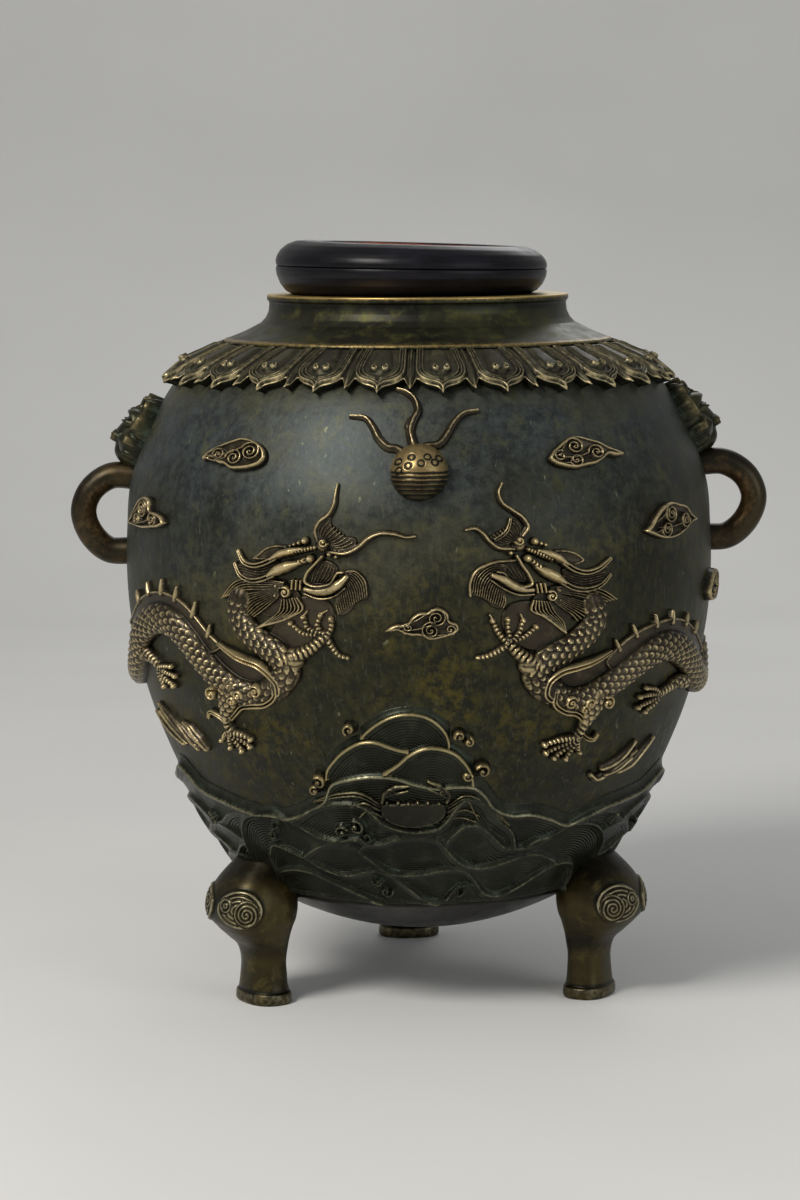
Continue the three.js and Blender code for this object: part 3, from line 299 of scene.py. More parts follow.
def banded(step):
    """A round bar with rings across it."""
    def shape(t, half, high):
        ring = np.abs(np.sin(math.pi * (t.along + 0.35 * np.abs(t.across)) / step))
        return high * dome(t.distance / half) * (0.62 + 0.38 * ring ** 0.7)
    return shape


def scaled(step, lift):
    """A round bar under tongues that overlap along it."""
    def shape(t, half, high):
        row = np.floor(t.along / step)
        tile = np.zeros_like(t.along)
        for back in (0, 1):
            this = row - back
            across = t.across / (step * 1.12) + 0.5 * (this % 2)
            offset = 2 * (across - np.round(across))
            ahead = t.along / step - this
            left = 1 + dome(offset) - ahead
            rise = (0.05 + 0.48 * ahead) * (1 - 0.4 * offset ** 2) * dome(1 - np.clip(left / 0.28, 0, 1))
            tile = np.where(left > 0, rise, tile)
        body = dome(t.distance / half)
        return high * body ** 0.8 + lift * (tile - 0.6) * np.clip(3 * body - 0.3, 0, 1)
    return shape


class Sheet:
    """A flat height map in millimetres."""

    def __init__(self, low, high, pitch):
        self.pitch = pitch
        self.low = np.asarray(low, float)
        self.size = np.ceil((np.asarray(high) - self.low) / self.pitch).astype(int) + 1
        self.x = self.low[0] + self.pitch * np.arange(self.size[0])
        self.y = self.low[1] + self.pitch * np.arange(self.size[1])
        self.height = np.full((self.size[1], self.size[0]), SHEET_FLOOR)
        self.depth = np.zeros_like(self.height)
        self.polish = np.zeros_like(self.height)

    def flat(self, route):
        return np.asarray(route, float)

    def draw(self, strokes):
        for stroke in strokes:
            stroke.draw(self)
        return self

    def merge(self, rows, columns, height):
        self.height[rows, columns] = np.maximum(self.height[rows, columns], height)

    def sample(self, field, x, y):
        """Values of a field of the sheet at any points, softened between its own."""
        across = np.clip((x - self.low[0]) / self.pitch, 0, self.size[0] - 1.001)
        up = np.clip((y - self.low[1]) / self.pitch, 0, self.size[1] - 1.001)
        column, row = across.astype(int), up.astype(int)
        u, v = across - column, up - row
        low = mix(field[row, column], field[row, column + 1], u)
        return mix(low, mix(field[row + 1, column], field[row + 1, column + 1], u), v)


# From this height on, and over this span, the tallest parts are worn more
TALL_START = 4.0
TALL_SPAN = 2.4


class WallSheet(Sheet):
    """A height map on the wall, with places in degrees off the front and heights over the floor."""

    def __init__(self, strokes, pitch, side=1, margin=3, spots=None, around=False):
        self.side, self.around = side, around
        if spots is None:
            spots = np.concatenate([np.asarray(stroke.route, float) for stroke in strokes])
            margin += max(stroke.reach for stroke in strokes)
        spots = np.asarray(spots, float)
        self.middle = 0.5 * (spots.min(0) + spots.max(0))
        self.radius = radius_at(self.middle[1])
        self.arc = arc_at(self.middle[1])
        flat = self.flat(spots)
        super().__init__(flat.min(0) - margin, flat.max(0) + margin, pitch)
        self.draw(strokes)

    def flat(self, route):
        route = np.asarray(route, float)
        across = np.radians(route[:, 0] - self.middle[0]) * self.radius
        return np.stack([across, arc_at(route[:, 1]) - self.arc], -1)

    def object(self, name, lift=0.0, sink=0.7, tall=0.0, fine=0.6):
        """The raised part of the sheet as a mesh on the wall, with its tallest parts worn a share more."""
        height = np.maximum(self.height, -sink)
        fields = wear(height, self.pitch, fine)
        fields["worn"] += tall * np.clip((height - TALL_START) / TALL_SPAN, 0, 1) + self.polish
        fields["depth"] = self.depth
        fields["etch"] = 1 - jumps(self.depth, 3 * self.pitch)
        angle = np.radians(self.middle[0]) + self.x / self.radius
        arc = self.arc + self.y
        points = on_wall(self.side * angle[None, :], arc[:, None], height + lift).reshape(-1, 3)
        faces = grid_faces(*height.shape, close_columns=self.around)
        if self.side < 0:
            faces = faces[:, ::-1]
        up = (height > 0).ravel()
        mark_halo(self.side * angle, arc, height)
        return add_mesh(name, *kept(points, faces, up[faces].any(1), fields))


# How far round itself, in millimetres, a point is compared: for fine edges and for broad forms
NEAR_BLUR = 0.7
WIDE_BLUR = 3.2


def wear(height, pitch, fine=0.6):
    """How far each point of a height map is rubbed bright or lies in a hollow, at a fineness in mm."""
    solid = np.clip(height, 0, None)
    near = solid - blurred(solid, NEAR_BLUR / pitch)
    wide = solid - blurred(solid, WIDE_BLUR / pitch)
    return {
        "worn": np.clip((near - 0.1 * fine) / fine, 0, 1) * 0.55 + np.clip((wide - 0.4) / 3.2, 0, 1) * 0.75,
        # recess: the hollows, which the bronze coats paint darker as shade and green with verdigris
        "recess": np.clip(-near / 0.5, 0, 1) * 0.7 + np.clip(-wide / 1.6, 0, 1) * 0.5,
    }


def jumps(field, most):
    """Marks both sides of each step of more than that."""
    marks = np.zeros(field.shape)
    for axis in (0, 1):
        steep = np.abs(np.diff(field, axis=axis)) > most
        for pad in ((0, 1), (1, 0)):
            sides = [(0, 0), (0, 0)]
            sides[axis] = pad
            marks = np.maximum(marks, np.pad(steep, sides))
    return marks


class Stroke:
    """A raised line of one shape, of a width and height that may change along it."""

    def __init__(self, shape, width, high, *route, smooth=True):
        self.shape, self.width, self.high, self.route, self.smooth = shape, width, high, route, smooth
        self.reach = 0.5 * float(np.max(width)) + EDGE_REACH

    def draw(self, sheet):
        line = sheet.flat(self.route)
        if self.smooth and len(line) > 2:
            line = curve(line, LINE_STEP)
        trace = Trace(sheet, line, self.reach)
        half = 0.5 * trace.spread(self.width)
        outside = EDGE_SLOPE * (half - trace.distance)
        inside = self.shape(trace, half, trace.spread(self.high))
        height = np.where(trace.distance < half, np.maximum(inside, 0), np.maximum(outside, SHEET_FLOOR))
        sheet.merge(trace.rows, trace.columns, height)


# How far in from its edge a plate reaches its full hollow
HOLLOW_SPAN = 3


class Area:
    """A raised plate inside a closed outline, with rims that run round it."""

    def __init__(self, high, *route, rims=(), rim_high=0.8, edge=1.2, hollow=0.0):
        self.high, self.route, self.rims, self.rim_high = high, route, rims, rim_high
        self.edge, self.hollow, self.reach = edge, hollow, EDGE_REACH

    def draw(self, sheet):
        route = sheet.flat(self.route)
        line = curve(np.concatenate([route[-2:], route, route[:2]]), LINE_STEP)
        from_start, half = np.linalg.norm(line - route[0], axis=1), len(line) // 2
        start, stop = np.argmin(from_start[:half]), half + np.argmin(from_start[half:])
        line = np.concatenate([line[start:stop], line[start:start + 1]])
        span = 0.5 * float(np.max(np.ptp(line, axis=0)))
        trace = Trace(sheet, line, max(self.reach, span))
        xs, ys = np.meshgrid(sheet.x[trace.columns], sheet.y[trace.rows])
        inside = np.zeros(xs.shape, bool)
        for a, b in zip(line, line[1:]):
            if a[1] == b[1]:
                continue
            crosses = (a[1] > ys) != (b[1] > ys)
            inside ^= crosses & (xs < a[0] + (ys - a[1]) * (b[0] - a[0]) / (b[1] - a[1]))
        depth = np.where(inside, trace.distance, -trace.distance)
        height = self.high * dome(1 - np.clip(depth / self.edge, 0, 1))
        height -= self.hollow * np.clip((depth - self.edge) / HOLLOW_SPAN, 0, 1)
        for place, width in self.rims:
            height += self.rim_high * dome((depth - place) / (0.5 * width))
        height = np.where(depth > 0, height, np.maximum(EDGE_SLOPE * depth, SHEET_FLOOR))
        sheet.merge(trace.rows, trace.columns, height)


# How far past each end of a crest line its flank runs, in degrees, and how far down
WAVE_FLANK = [(8, 40), (6, 18), (3, 5)]
# The double rim under a crest: depth, half width and height of each bead
WAVE_RIMS = [(0.9, 1.5, 0.7), (3.1, 0.75, 0.35)]
ROLL_SPAN = 5
ENGRAVED_START = 3.5
DEEPEST = 60
SHINE_DEPTH = 0.6
SHINE_SPAN = 0.85


class Wave:
    """Water under a crest line: a rolled double rim, then a face that falls away from it."""
    reach = 2.0

    def __init__(self, *route, foot=None, low=1.5, roll=2.0, flanks=True, bevel=0, bevel_high=1.5,
                 polish=0.42):
        self.foot, self.low, self.roll, self.polish = foot, low, roll, polish
        self.bevel, self.bevel_high = bevel, bevel_high
        if flanks:
            (start, rise), (end, fall) = route[0], route[-1]
            route = [*[(start - out, rise - drop) for out, drop in WAVE_FLANK], *route,
                     *[(end + out, fall - drop) for out, drop in WAVE_FLANK[::-1]]]
        self.route = [(angle, max(height, FOOT_HEIGHT - 5)) for angle, height in route]

    def draw(self, sheet):
        line = curve(sheet.flat(self.route), 1.0)
        xs = sheet.x
        within = (xs >= line[0, 0]) & (xs <= line[-1, 0])
        crest = np.interp(xs, line[:, 0], line[:, 1])
        slant = np.cos(np.arctan(np.interp(xs, line[:, 0], np.gradient(line[:, 1], line[:, 0]))))
        depth = (crest[None, :] - sheet.y[:, None]) * slant[None, :]
        share = np.clip(depth / 2.4 + 0.62, 0, 1) * within[None, :]
        share = share * share * (3 - 2 * share)
        if self.foot is not None:
            foot = sheet.flat(self.foot)
            over = sheet.y[:, None] - np.interp(xs, foot[:, 0], foot[:, 1])[None, :]
            share *= np.clip(over / sheet.pitch + 0.5, 0, 1)
        down = np.clip(depth, 0, None)
        height = self.low + self.roll * np.exp(-down / ROLL_SPAN)
        height += sum(high * dome((down - place) / half) for place, half, high in WAVE_RIMS)
        sheet.height = mix(sheet.height, height, share)
        sheet.depth = np.where(share > 0.5, np.clip(down - ENGRAVED_START, 0, DEEPEST), sheet.depth)
        shine = self.polish * hump(down, SHINE_DEPTH, SHINE_SPAN)
        sheet.polish = np.where(share > 0.5, shine, sheet.polish)
        if self.bevel:
            slope = self.bevel_high * np.clip(1 + depth / self.bevel, 0, 1) ** 1.4
            beside = (depth < 0) & (depth > -self.bevel) & within[None, :]
            sheet.height = np.where(beside, np.maximum(sheet.height, slope), sheet.height)


def spot(place, radius, high, shape=plain):
    """A round boss."""
    return Stroke(shape, 2 * radius, high, place, (place[0] + 0.01, place[1]), smooth=False)


def spots(radius, high, *places):
    return [spot(place, radius, high) for place in places]


def spiral(place, radius, high, width=1.5, turns=1.6, start=0, way=1, flat=False, wide=1.0):
    """A line that winds in to a round eye."""
    share = np.linspace(0, 1, max(8, int(12 * turns)))
    angle = np.radians(start) + way * TURN * turns * share
    reach = (radius - 0.5 * width) * (1 - 0.82 * share)
    across = wide * reach * np.cos(angle)
    across = across if flat else np.degrees(across / radius_at(place[1]))
    route = [(place[0] + a, place[1] + r * math.sin(t)) for a, r, t in zip(across, reach, angle)]
    return [Stroke(plain, width, high, *route), spot(place, 0.55 * width, high * 1.05)]


def fan(first, last, count, width, high):
    """Strands laid side by side between a first and a last one, which have as many points each."""
    first, last = np.asarray(first, float), np.asarray(last, float)
    return [Stroke(plain, width, high, *mix(first, last, share)) for share in np.linspace(0, 1, count)]


def each(kind, *routes):
    """Strokes of one kind, one for each route."""
    return [kind(*route) for route in routes]


# Where the wall is darkened around what stands on it
HALO_STEP = 1.5
halo_size = (math.ceil(wall_arc[-1] / HALO_STEP), math.ceil(TURN * BELLY_RADIUS / HALO_STEP))
halo = np.zeros(halo_size)


def mark_halo(angle, arc, height):
    """Notes on the halo map where a height map rises."""
    columns = np.floor(angle / TURN * halo_size[1]).astype(int) % halo_size[1]
    rows = np.clip((arc / HALO_STEP).astype(int), 0, halo_size[0] - 1)
    raised = np.argwhere(height > 0.3)
    halo[rows[raised[:, 0]], columns[raised[:, 1]]] = 1


# Materials
def rgb(code):
    """Linear colour of a hexadecimal one."""
    shares = [(code >> shift & 255) / 255 for shift in (16, 8, 0)]
    return (*[c / 12.92 if c <= 0.04045 else ((c + 0.055) / 1.055) ** 2.4 for c in shares], 1)


ENGRAVED_STEP = 1.45
# painted shade: the near-black brown that hollows are darkened towards
HOLLOW_SHADE = 0x14120d
VERDIGRIS = 0x4a5a48
ENGRAVED_DARK = 0x12120e


class Paint:
    """Builds the nodes of one material."""

    def __init__(self, name):
        self.material = bpy.data.materials.new(name)
        self.material.use_nodes = True
        self.tree = self.material.node_tree
        self.shader = self.tree.nodes["Principled BSDF"]
        self.place = self.node("ShaderNodeTexCoord").outputs["Object"]

    def node(self, kind, values=(), **settings):
        node = self.tree.nodes.new(kind)
        for key, value in settings.items():
            setattr(node, key, value)
        for key, value in dict(values).items():
            if isinstance(value, bpy.types.NodeSocket):
                self.tree.links.new(value, node.inputs[key])
            else:
                node.inputs[key].default_value = value
        return node

    def noise(self, size, detail=4, rough=0.6, warp=0.0, stretch=None):
        """Soft noise with features of about that size in millimetres."""
        place = self.place
        if stretch:
            place = self.node("ShaderNodeMapping", {"Vector": place, "Scale": stretch}).outputs[0]
        return self.node("ShaderNodeTexNoise", {
            "Vector": place, "Scale": 1 / (size * MM), "Detail": detail, "Roughness": rough,
            "Distortion": warp}).outputs["Fac"]

    def steps(self, value, low, high, to_low=0.0, to_high=1.0):
        return self.node("ShaderNodeMapRange", {
            "Value": value, "From Min": low, "From Max": high, "To Min": to_low, "To Max": to_high,
        }, interpolation_type="SMOOTHSTEP").outputs[0]

    def sum(self, kind, first, second=0.0):
        return self.node("ShaderNodeMath", {0: first, 1: second}, operation=kind).outputs[0]

    def times(self, first, second):
        return self.sum("MULTIPLY", first, second)

    def blend(self, share, low, high):
        return self.node("ShaderNodeMix", {0: share, 6: low, 7: high}, data_type="RGBA").outputs[2]

    def over(self, colour, code, value, low, high, most=1.0):
        """The colour under another one, which shows as far as the value lies from low to high."""
        return self.blend(self.steps(value, low, high, 0, most), colour, rgb(code))

    def field(self, name):
        return self.node("ShaderNodeAttribute", attribute_name=name).outputs["Fac"]

    def link(self, socket, name):
        self.tree.links.new(socket, self.shader.inputs[name])

    def bump(self, *layers):
        """Bumps of some depth in millimetres, the coarsest first."""
        normal = None
        for height, depth in layers:
            values = {"Height": height, "Distance": depth * MM, "Strength": 1.0}
            if normal:
                values["Normal"] = normal
            normal = self.node("ShaderNodeBump", values).outputs["Normal"]
        self.link(normal, "Normal")


def bronze(name, dark, middle, light, brass, worn_share, green_share, rough=(0.3, 0.48), lines=False,
           shade_share=0.8):
    """Patinated bronze: mottled browns and greens, brass where it is rubbed, verdigris and painted shade in
    its hollows.
    """
    paint = Paint(name)
    cloudy = paint.noise(40, 5, 0.62, 0.3)
    mottled = paint.noise(9, 6, 0.7, 0.3)
    speckled = paint.noise(2.2, 4, 0.7)
    fine = paint.noise(0.7, 3, 0.6)
    colour = paint.over(rgb(dark), middle, cloudy, 0.36, 0.66)
    colour = paint.over(colour, light, mottled, 0.48, 0.72, 0.75)
    colour = paint.over(colour, dark, speckled, 0.56, 0.8, 0.4)
    hollow = paint.field("recess")
    # painted shade: the hollows are darkened towards near-black, by the share given for each coat
    colour = paint.over(colour, HOLLOW_SHADE, hollow, 0.05, 0.7, shade_share)
    green = paint.times(paint.steps(hollow, 0.15, 0.9), paint.steps(mottled, 0.4, 0.66))
    colour = paint.blend(paint.times(green, green_share), colour, rgb(VERDIGRIS))
    worn = paint.times(paint.field("worn"), worn_share)
    broken = paint.sum("ADD", worn, paint.steps(speckled, 0.3, 0.75, -0.18, 0.14))
    rub = paint.steps(broken, 0.34, 1.1)
    colour = paint.blend(rub, colour, rgb(brass))
    bumps = [(mottled, 0.12), (speckled, 0.05), (fine, 0.012)]
    if lines:
        turns = paint.times(paint.field("depth"), TURN / ENGRAVED_STEP)
        engraved = paint.times(paint.sum("COSINE", turns), paint.field("etch"))
        colour = paint.over(colour, ENGRAVED_DARK, engraved, 0.2, -1, 0.5)
        bumps.insert(0, (engraved, 0.12))
    paint.link(colour, "Base Color")
    roughness = paint.steps(mottled, 0.3, 0.75, *rough)
    paint.link(paint.sum("SUBTRACT", roughness, paint.times(rub, 0.06)), "Roughness")
    paint.shader.inputs["Metallic"].default_value = 0.74
    paint.bump(*bumps)
    return paint.material


def wall_bronze():
    """The wall's patina: blue-grey above, partly as a painted sheen on the upper left, yellow-green below,
    painted shade towards the bottom and inside, and dark round what stands on it.
    """
    paint = Paint("wall_patina")
    side, _, height = paint.node("ShaderNodeSeparateXYZ", {"Vector": paint.place}).outputs
    cloudy = paint.noise(55, 6, 0.62, 0.2)
    mottled = paint.noise(5.5, 6, 0.74, 0.15)
    speckled = paint.noise(2.0, 4, 0.7)
    fleck = paint.noise(5, 2, 0.5, 0.1, (1.6, 1.6, 0.7))
    fine = paint.noise(0.6, 3, 0.6)
    streaked = paint.noise(1.8, 4, 0.7, 0.05, (1, 1, 0.22))
    # partly painted sheen: the blue-grey upper colour reaches lower on the left side, where the lamp's sheen
    # falls; it is also the upper patina
    lifted = paint.sum("ADD", height, paint.times(paint.sum("SUBTRACT", cloudy, 0.5), 0.16))
    lifted = paint.sum("SUBTRACT", lifted, paint.times(side, 0.16))
    upper = paint.steps(lifted, 0.195, 0.285)
    low = paint.over(rgb(0x1a1b0f), 0x302f15, mottled, 0.38, 0.64)
    ochre = paint.times(paint.steps(cloudy, 0.44, 0.64), paint.steps(mottled, 0.42, 0.66))
    low = paint.blend(paint.times(ochre, 0.8), low, rgb(0x554b13))
    high = paint.over(rgb(0x2e3334), 0x454c4c, mottled, 0.36, 0.66)
    high = paint.over(high, 0x47452f, cloudy, 0.48, 0.64, 0.6)
    moss = paint.noise(13, 5, 0.7, 0.2)
    mossy = paint.times(paint.steps(moss, 0.5, 0.68), paint.steps(mottled, 0.4, 0.6))
    high = paint.blend(paint.times(mossy, 0.7), high, rgb(0x5a5934))
    # painted shade: the lower wall is darkened towards the bottom, where less light falls
    low = paint.over(low, 0x15160c, height, 0.16, 0.09, 0.6)
    colour = paint.blend(upper, low, high)
    colour = paint.over(colour, 0x8a8c6e, fleck, 0.7, 0.78, 0.5)
    colour = paint.over(colour, 0x191a13, speckled, 0.52, 0.8, 0.45)
    colour = paint.over(colour, 0x5a5d50, streaked, 0.52, 0.74, 0.4)
    stained = paint.times(paint.field("halo"), paint.steps(mottled, 0.25, 0.6))
    colour = paint.blend(paint.times(stained, 0.55), colour, rgb(0x4c4a36))
    # painted shade: the inside of the wall and its bottom ring are darkened
    colour = paint.over(colour, 0x12130f, paint.field("recess"), 0.1, 0.9)
    paint.link(colour, "Base Color")
    paint.link(paint.steps(mottled, 0.3, 0.75, 0.42, 0.6), "Roughness")
    paint.shader.inputs["Metallic"].default_value = 0.6
    paint.bump((paint.noise(25, 3), 0.35), (mottled, 0.14), (speckled, 0.06), (streaked, 0.02), (fine, 0.01))
    return paint.material


def lacquer():
    """Nearly black lacquer on wood, worn to a red wood on its inner edge."""
    paint = Paint("black_lacquer")
    grain = paint.noise(6, 6, 0.65, 0.4, (0.25, 0.25, 3))
    soft = paint.noise(24, 4, 0.6)
    fine = paint.noise(0.9, 3, 0.6)
    colour = paint.over(rgb(0x0a090d), 0x15131a, grain, 0.4, 0.7)
    colour = paint.over(colour, 0x1f1c26, soft, 0.5, 0.75, 0.5)
    bare = paint.sum("ADD", paint.field("worn"), paint.steps(grain, 0.3, 0.7, -0.3, 0.3))
    wood = paint.over(rgb(0x4a2014), 0x8c4b2d, grain, 0.35, 0.65)
    colour = paint.blend(paint.steps(bare, 0.45, 0.7), colour, wood)
    colour = paint.over(colour, 0x050506, paint.field("recess"), 0.2, 0.8)
    paint.link(colour, "Base Color")
    rough = paint.steps(soft, 0.35, 0.75, 0.3, 0.44)
    paint.link(paint.sum("ADD", rough, paint.steps(bare, 0.45, 0.7, 0, 0.3)), "Roughness")
    paint.shader.inputs["Specular IOR Level"].default_value = 0.2
    paint.bump((grain, 0.06), (fine, 0.012))
    return paint.material


# Each coat of bronze: dark, middle, light and rubbed colour, how far it is rubbed and how green its hollows
patina = {
    "wall": wall_bronze(),
    "neck": bronze("neck_patina", 0x22211a, 0x3c3c28, 0x5d5b2c, 0xb89c5e, 1.1, 0.2, rough=(0.34, 0.55)),
    "bowl": bronze("bowl_patina", 0x15130f, 0x211e18, 0x2b271c, 0x6b5a38, 0.7, 0.3),
    "relief": bronze("relief_patina", 0x30291e, 0x484033, 0x5d543e, 0xc4b184, 1.05, 0.12, shade_share=0.6),
    "collar": bronze("collar_patina", 0x3b382b, 0x524e3b, 0x666146, 0xbcac82, 1.15, 0.2,
                     rough=(0.42, 0.6), shade_share=0.85),
    "waves": bronze("wave_patina", 0x1c1e15, 0x2b2e22, 0x3f4332, 0x8a866a, 1.0, 0.95, lines=True, shade_share=0.5),
    "tiers": bronze("tier_patina", 0x1c1e15, 0x2b2e22, 0x3f4332, 0x9f9168, 1.0, 0.95, lines=True, shade_share=0.5),
    "crab": bronze("crab_patina", 0x1d1c15, 0x2b2a20, 0x3b3829, 0x958b64, 0.75, 0.4),
    "curls": bronze("curl_patina", 0x2a2519, 0x3e3626, 0x554a32, 0xa8966a, 0.75, 0.2),
    "mask": bronze("mask_patina", 0x24241a, 0x3a3826, 0x524d34, 0x93835a, 0.55, 0.8),
    "brass": bronze("worn_brass", 0x332b1c, 0x4c4029, 0x5f5132, 0xa28b5d, 0.95, 0.2),
    "handle": bronze("handle_patina", 0x262116, 0x3b3320, 0x57452a, 0x94724a, 0.8, 0.3),
    "foot": bronze("foot_patina", 0x2a2514, 0x443b1f, 0x665a2e, 0xa39b7c, 0.8, 0.12),
    "lacquer": lacquer(),
}


def finish(piece, coat, slot, *nodes, body="vase"):
    """Dresses a piece, ties it to the body that carries it and hides the nodes that it stands for."""
    piece.data.materials.append(patina[coat])
    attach(piece, body)
    if nodes:
        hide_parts(*nodes)
    return piece


# Neck: a flat rim on the shoulder, a hollow throat and a thick lip with a bright edge
NECK_OUTLINE = [
    (75, 308), (83.4, 308), (83.7, 317.3), (94.4, 317.1), (95.2, 318.3), (94.6, 319.7), (92.6, 320.1),
    (85.3, 323), (76.9, 327.3), (74.5, 329.9), (73.1, 333), (72.7, 336.6), (73, 337.9), (73.8, 338.5),
    (73.8, 340.8), (73.4, 341), (52.3, 341), (52, 340.7), (52, 337.8), (68.6, 336.4), (69, 331), (71.5, 326),
    (79, 320.4), (78.6, 317),
]
NECK_LIP, NECK_GROOVE, NECK_RIM = 341, 336.5, 319.5
outline = rounded(NECK_OUTLINE, 0.6, 4)
radius, height = outline.T
# the lip's outer edge is made bright, partly as rubbed brass and partly as a painted highlight
lip_bright = (0.3 + 1.2 * hump(height, NECK_LIP, 0.7)) * (radius > 70) * (height > 338)
rim_bright = 0.7 * hump(height, NECK_RIM, 1.2) * (radius > 91)
# painted shade: the throat is darkened inside, under the lip
throat_shade = hump(height, NECK_GROOVE, 1.6) * (radius < 73.5) * 0.7
neck = turned("neck_turned", outline, 220, fields={"worn": lip_bright + rim_bright, "recess": throat_shade})
finish(neck, "neck", "dark_bronze", "neck")

# Base bowl: a shallow dish that closes the bottom
BOWL_RADIUS, BOWL_BORE = 84.5, 72.7
BOWL_BOTTOM, BOWL_TOP = 27.7, 56.7
BOWL_SKIN = 3
BOWL_RIM = [(84.5, 56.2), (84, 56.7), (75.7, 56.7), (75.7, 63.7), (72.7, 63.7)]
BOWL_EDGE_HEIGHT = 54
shares = np.linspace(0, 1, 24)
dish = np.stack([BOWL_RADIUS * shares, BOWL_BOTTOM + (BOWL_TOP - BOWL_SKIN - BOWL_BOTTOM) * shares ** 2], 1)
back = shares[::-1]
inside = np.stack([BOWL_BORE * back,
                   BOWL_BOTTOM + BOWL_SKIN + (BOWL_TOP - 2 * BOWL_SKIN - BOWL_BOTTOM) * back ** 2], 1)
outline = np.concatenate([dish, BOWL_RIM, inside])
outline[0, 0] = outline[-1, 0] = 0
# painted shade: the dish is darkened towards its top, where it runs in under the wall
bowl = turned("base_dish", outline, 160, closed=False, weld=True, fields={
    "worn": 0.5 * hump(outline[:, 1], BOWL_EDGE_HEIGHT, 2),
    "recess": np.clip((outline[:, 1] - 45) / 30, 0, 0.4)})
finish(bowl, "bowl", "base_bronze", "base_bowl")

# Wooden ring: two turned halves, a little thicker on the left
RING_SHIFT = -3
RING_FLOOR = LIP_HEIGHT + 0.3
RING_SEAM = RING_FLOOR + 12.7
RING_TOP = corner("wood_ring_upper", HIGH, Z) - 2.2
RING_TAPER = 2.2
RING_RADIUS = 66.5


def tapered(piece):
    """Lifts a half of the ring on its left side."""
    for vertex in piece.data.vertices:
        rise = max(0, vertex.co.z / MM - RING_FLOOR) / (RING_TOP - RING_FLOOR)
        vertex.co.z -= rise * RING_TAPER * vertex.co.x / RING_RADIUS
    return piece


def ring_half(name, node, outline, bare):
    """A half of the ring, dark along the seam and worn bare where that is asked for."""
    seam_dark = np.clip(1 - np.abs(RING_SEAM - outline[:, 1]) / 0.6, 0, 1) * (outline[:, 0] > 60)
    piece = turned(name, outline, 200, shift=(RING_SHIFT, 0), fields={"worn": bare, "recess": seam_dark})
    return finish(tapered(piece), "lacquer", "lacquered_wood", node, body="wood_ring")


lower = rounded([
    (43, RING_FLOOR - 5), (48, RING_FLOOR - 5), (48, RING_FLOOR), (58.6, RING_FLOOR),
    (61.5, RING_FLOOR + 1.4), (64.2, RING_FLOOR + 4.6), (65.9, RING_FLOOR + 8.4), (66.4, RING_FLOOR + 11),
    (66.2, RING_SEAM - 0.3), (65.8, RING_SEAM - 0.02), (43, RING_SEAM - 0.02),
], 0.5, 5)
upper = rounded([
    (43, RING_SEAM + 0.12), (65.8, RING_SEAM + 0.12), (66.3, RING_SEAM + 0.5), (66.5, RING_SEAM + 2.2),
    (65.9, RING_SEAM + 4.4), (64, RING_SEAM + 7.2), (60.8, RING_SEAM + 9.6), (56.5, RING_SEAM + 11.2),
    (53, RING_TOP), (50.6, RING_TOP - 0.1), (49.4, RING_TOP - 1.2), (43.4, RING_TOP - 1.8),
    (43, RING_TOP - 2.6),
], 0.9, 5)
inner_edge = np.clip((50.6 - upper[:, 0]) / 1.5, 0, 1) * np.clip((upper[:, 1] - RING_TOP + 6) / 3, 0, 1) * 1.1
ring_half("ring_lower_half", "wood_ring_lower", lower, np.zeros(len(lower)))
ring_half("ring_upper_half", "wood_ring_upper", upper, inner_edge)


# Handles: a round bar bent into a loop under each mask
HANDLE_BAR = 13.4
HANDLE_SPAN = 37
HANDLE_ROUTE = [(0.45, 0), (0.86, 0.2), (1, 0.46), (0.86, 0.76), (0.5, 0.98)]
HANDLE_SUNK = 2.5
HANDLE_THINNING = 0.05


def handle(name, node, side):
    """A bar loop, thinner where fingers and chains have rubbed it."""
    top = corner(node, HIGH, Z) - 0.5 * HANDLE_BAR
    low = top - HANDLE_SPAN
    outer = max(abs(corner(node, end, X)) for end in (LOW, HIGH)) - 0.5 * HANDLE_BAR
    top_root, low_root = radius_at(top), radius_at(low)
    loop = [(mix(top_root, outer, out), mix(top, low, drop)) for out, drop in HANDLE_ROUTE]
    line = curve([(top_root - HANDLE_SUNK, top), *loop, (low_root - HANDLE_SUNK, low)], 1.2)
    ahead = np.gradient(line, axis=0)
    ahead /= np.linalg.norm(ahead, axis=1)[:, None]
    share = lengths(line) / lengths(line)[-1]
    half = 0.5 * HANDLE_BAR * (1 - HANDLE_THINNING * np.sin(math.pi * share))
    angle = np.linspace(0, TURN, 32, endpoint=False)
    across = np.stack([-ahead[:, 1], ahead[:, 0]], 1)
    flat = line[:, None, :] + (half[:, None] * np.cos(angle))[:, :, None] * across[:, None, :]
    points = np.stack([side * flat[..., 0], half[:, None] * np.sin(angle), flat[..., 1]], -1).reshape(-1, 3)
    middle = np.sin(math.pi * share)[:, None]
    faces = grid_faces(len(line), len(angle), close_columns=True)
    piece = add_mesh(name, points, faces if side < 0 else faces[:, ::-1], {
        "worn": 0.25 + 0.55 * middle * np.clip(0.6 - np.cos(angle), 0, 1.2)[None, :],
        # painted shade: both ends of the bar are darkened where it goes into the wall
        "recess": np.broadcast_to(0.7 * (1 - np.clip(middle * 4, 0, 1)), (len(line), len(angle)))})
    return finish(piece, "handle", "worn_bronze", node)


handle("handle_loop_left", "handle_left", -1)
handle("handle_loop_right", "handle_right", 1)


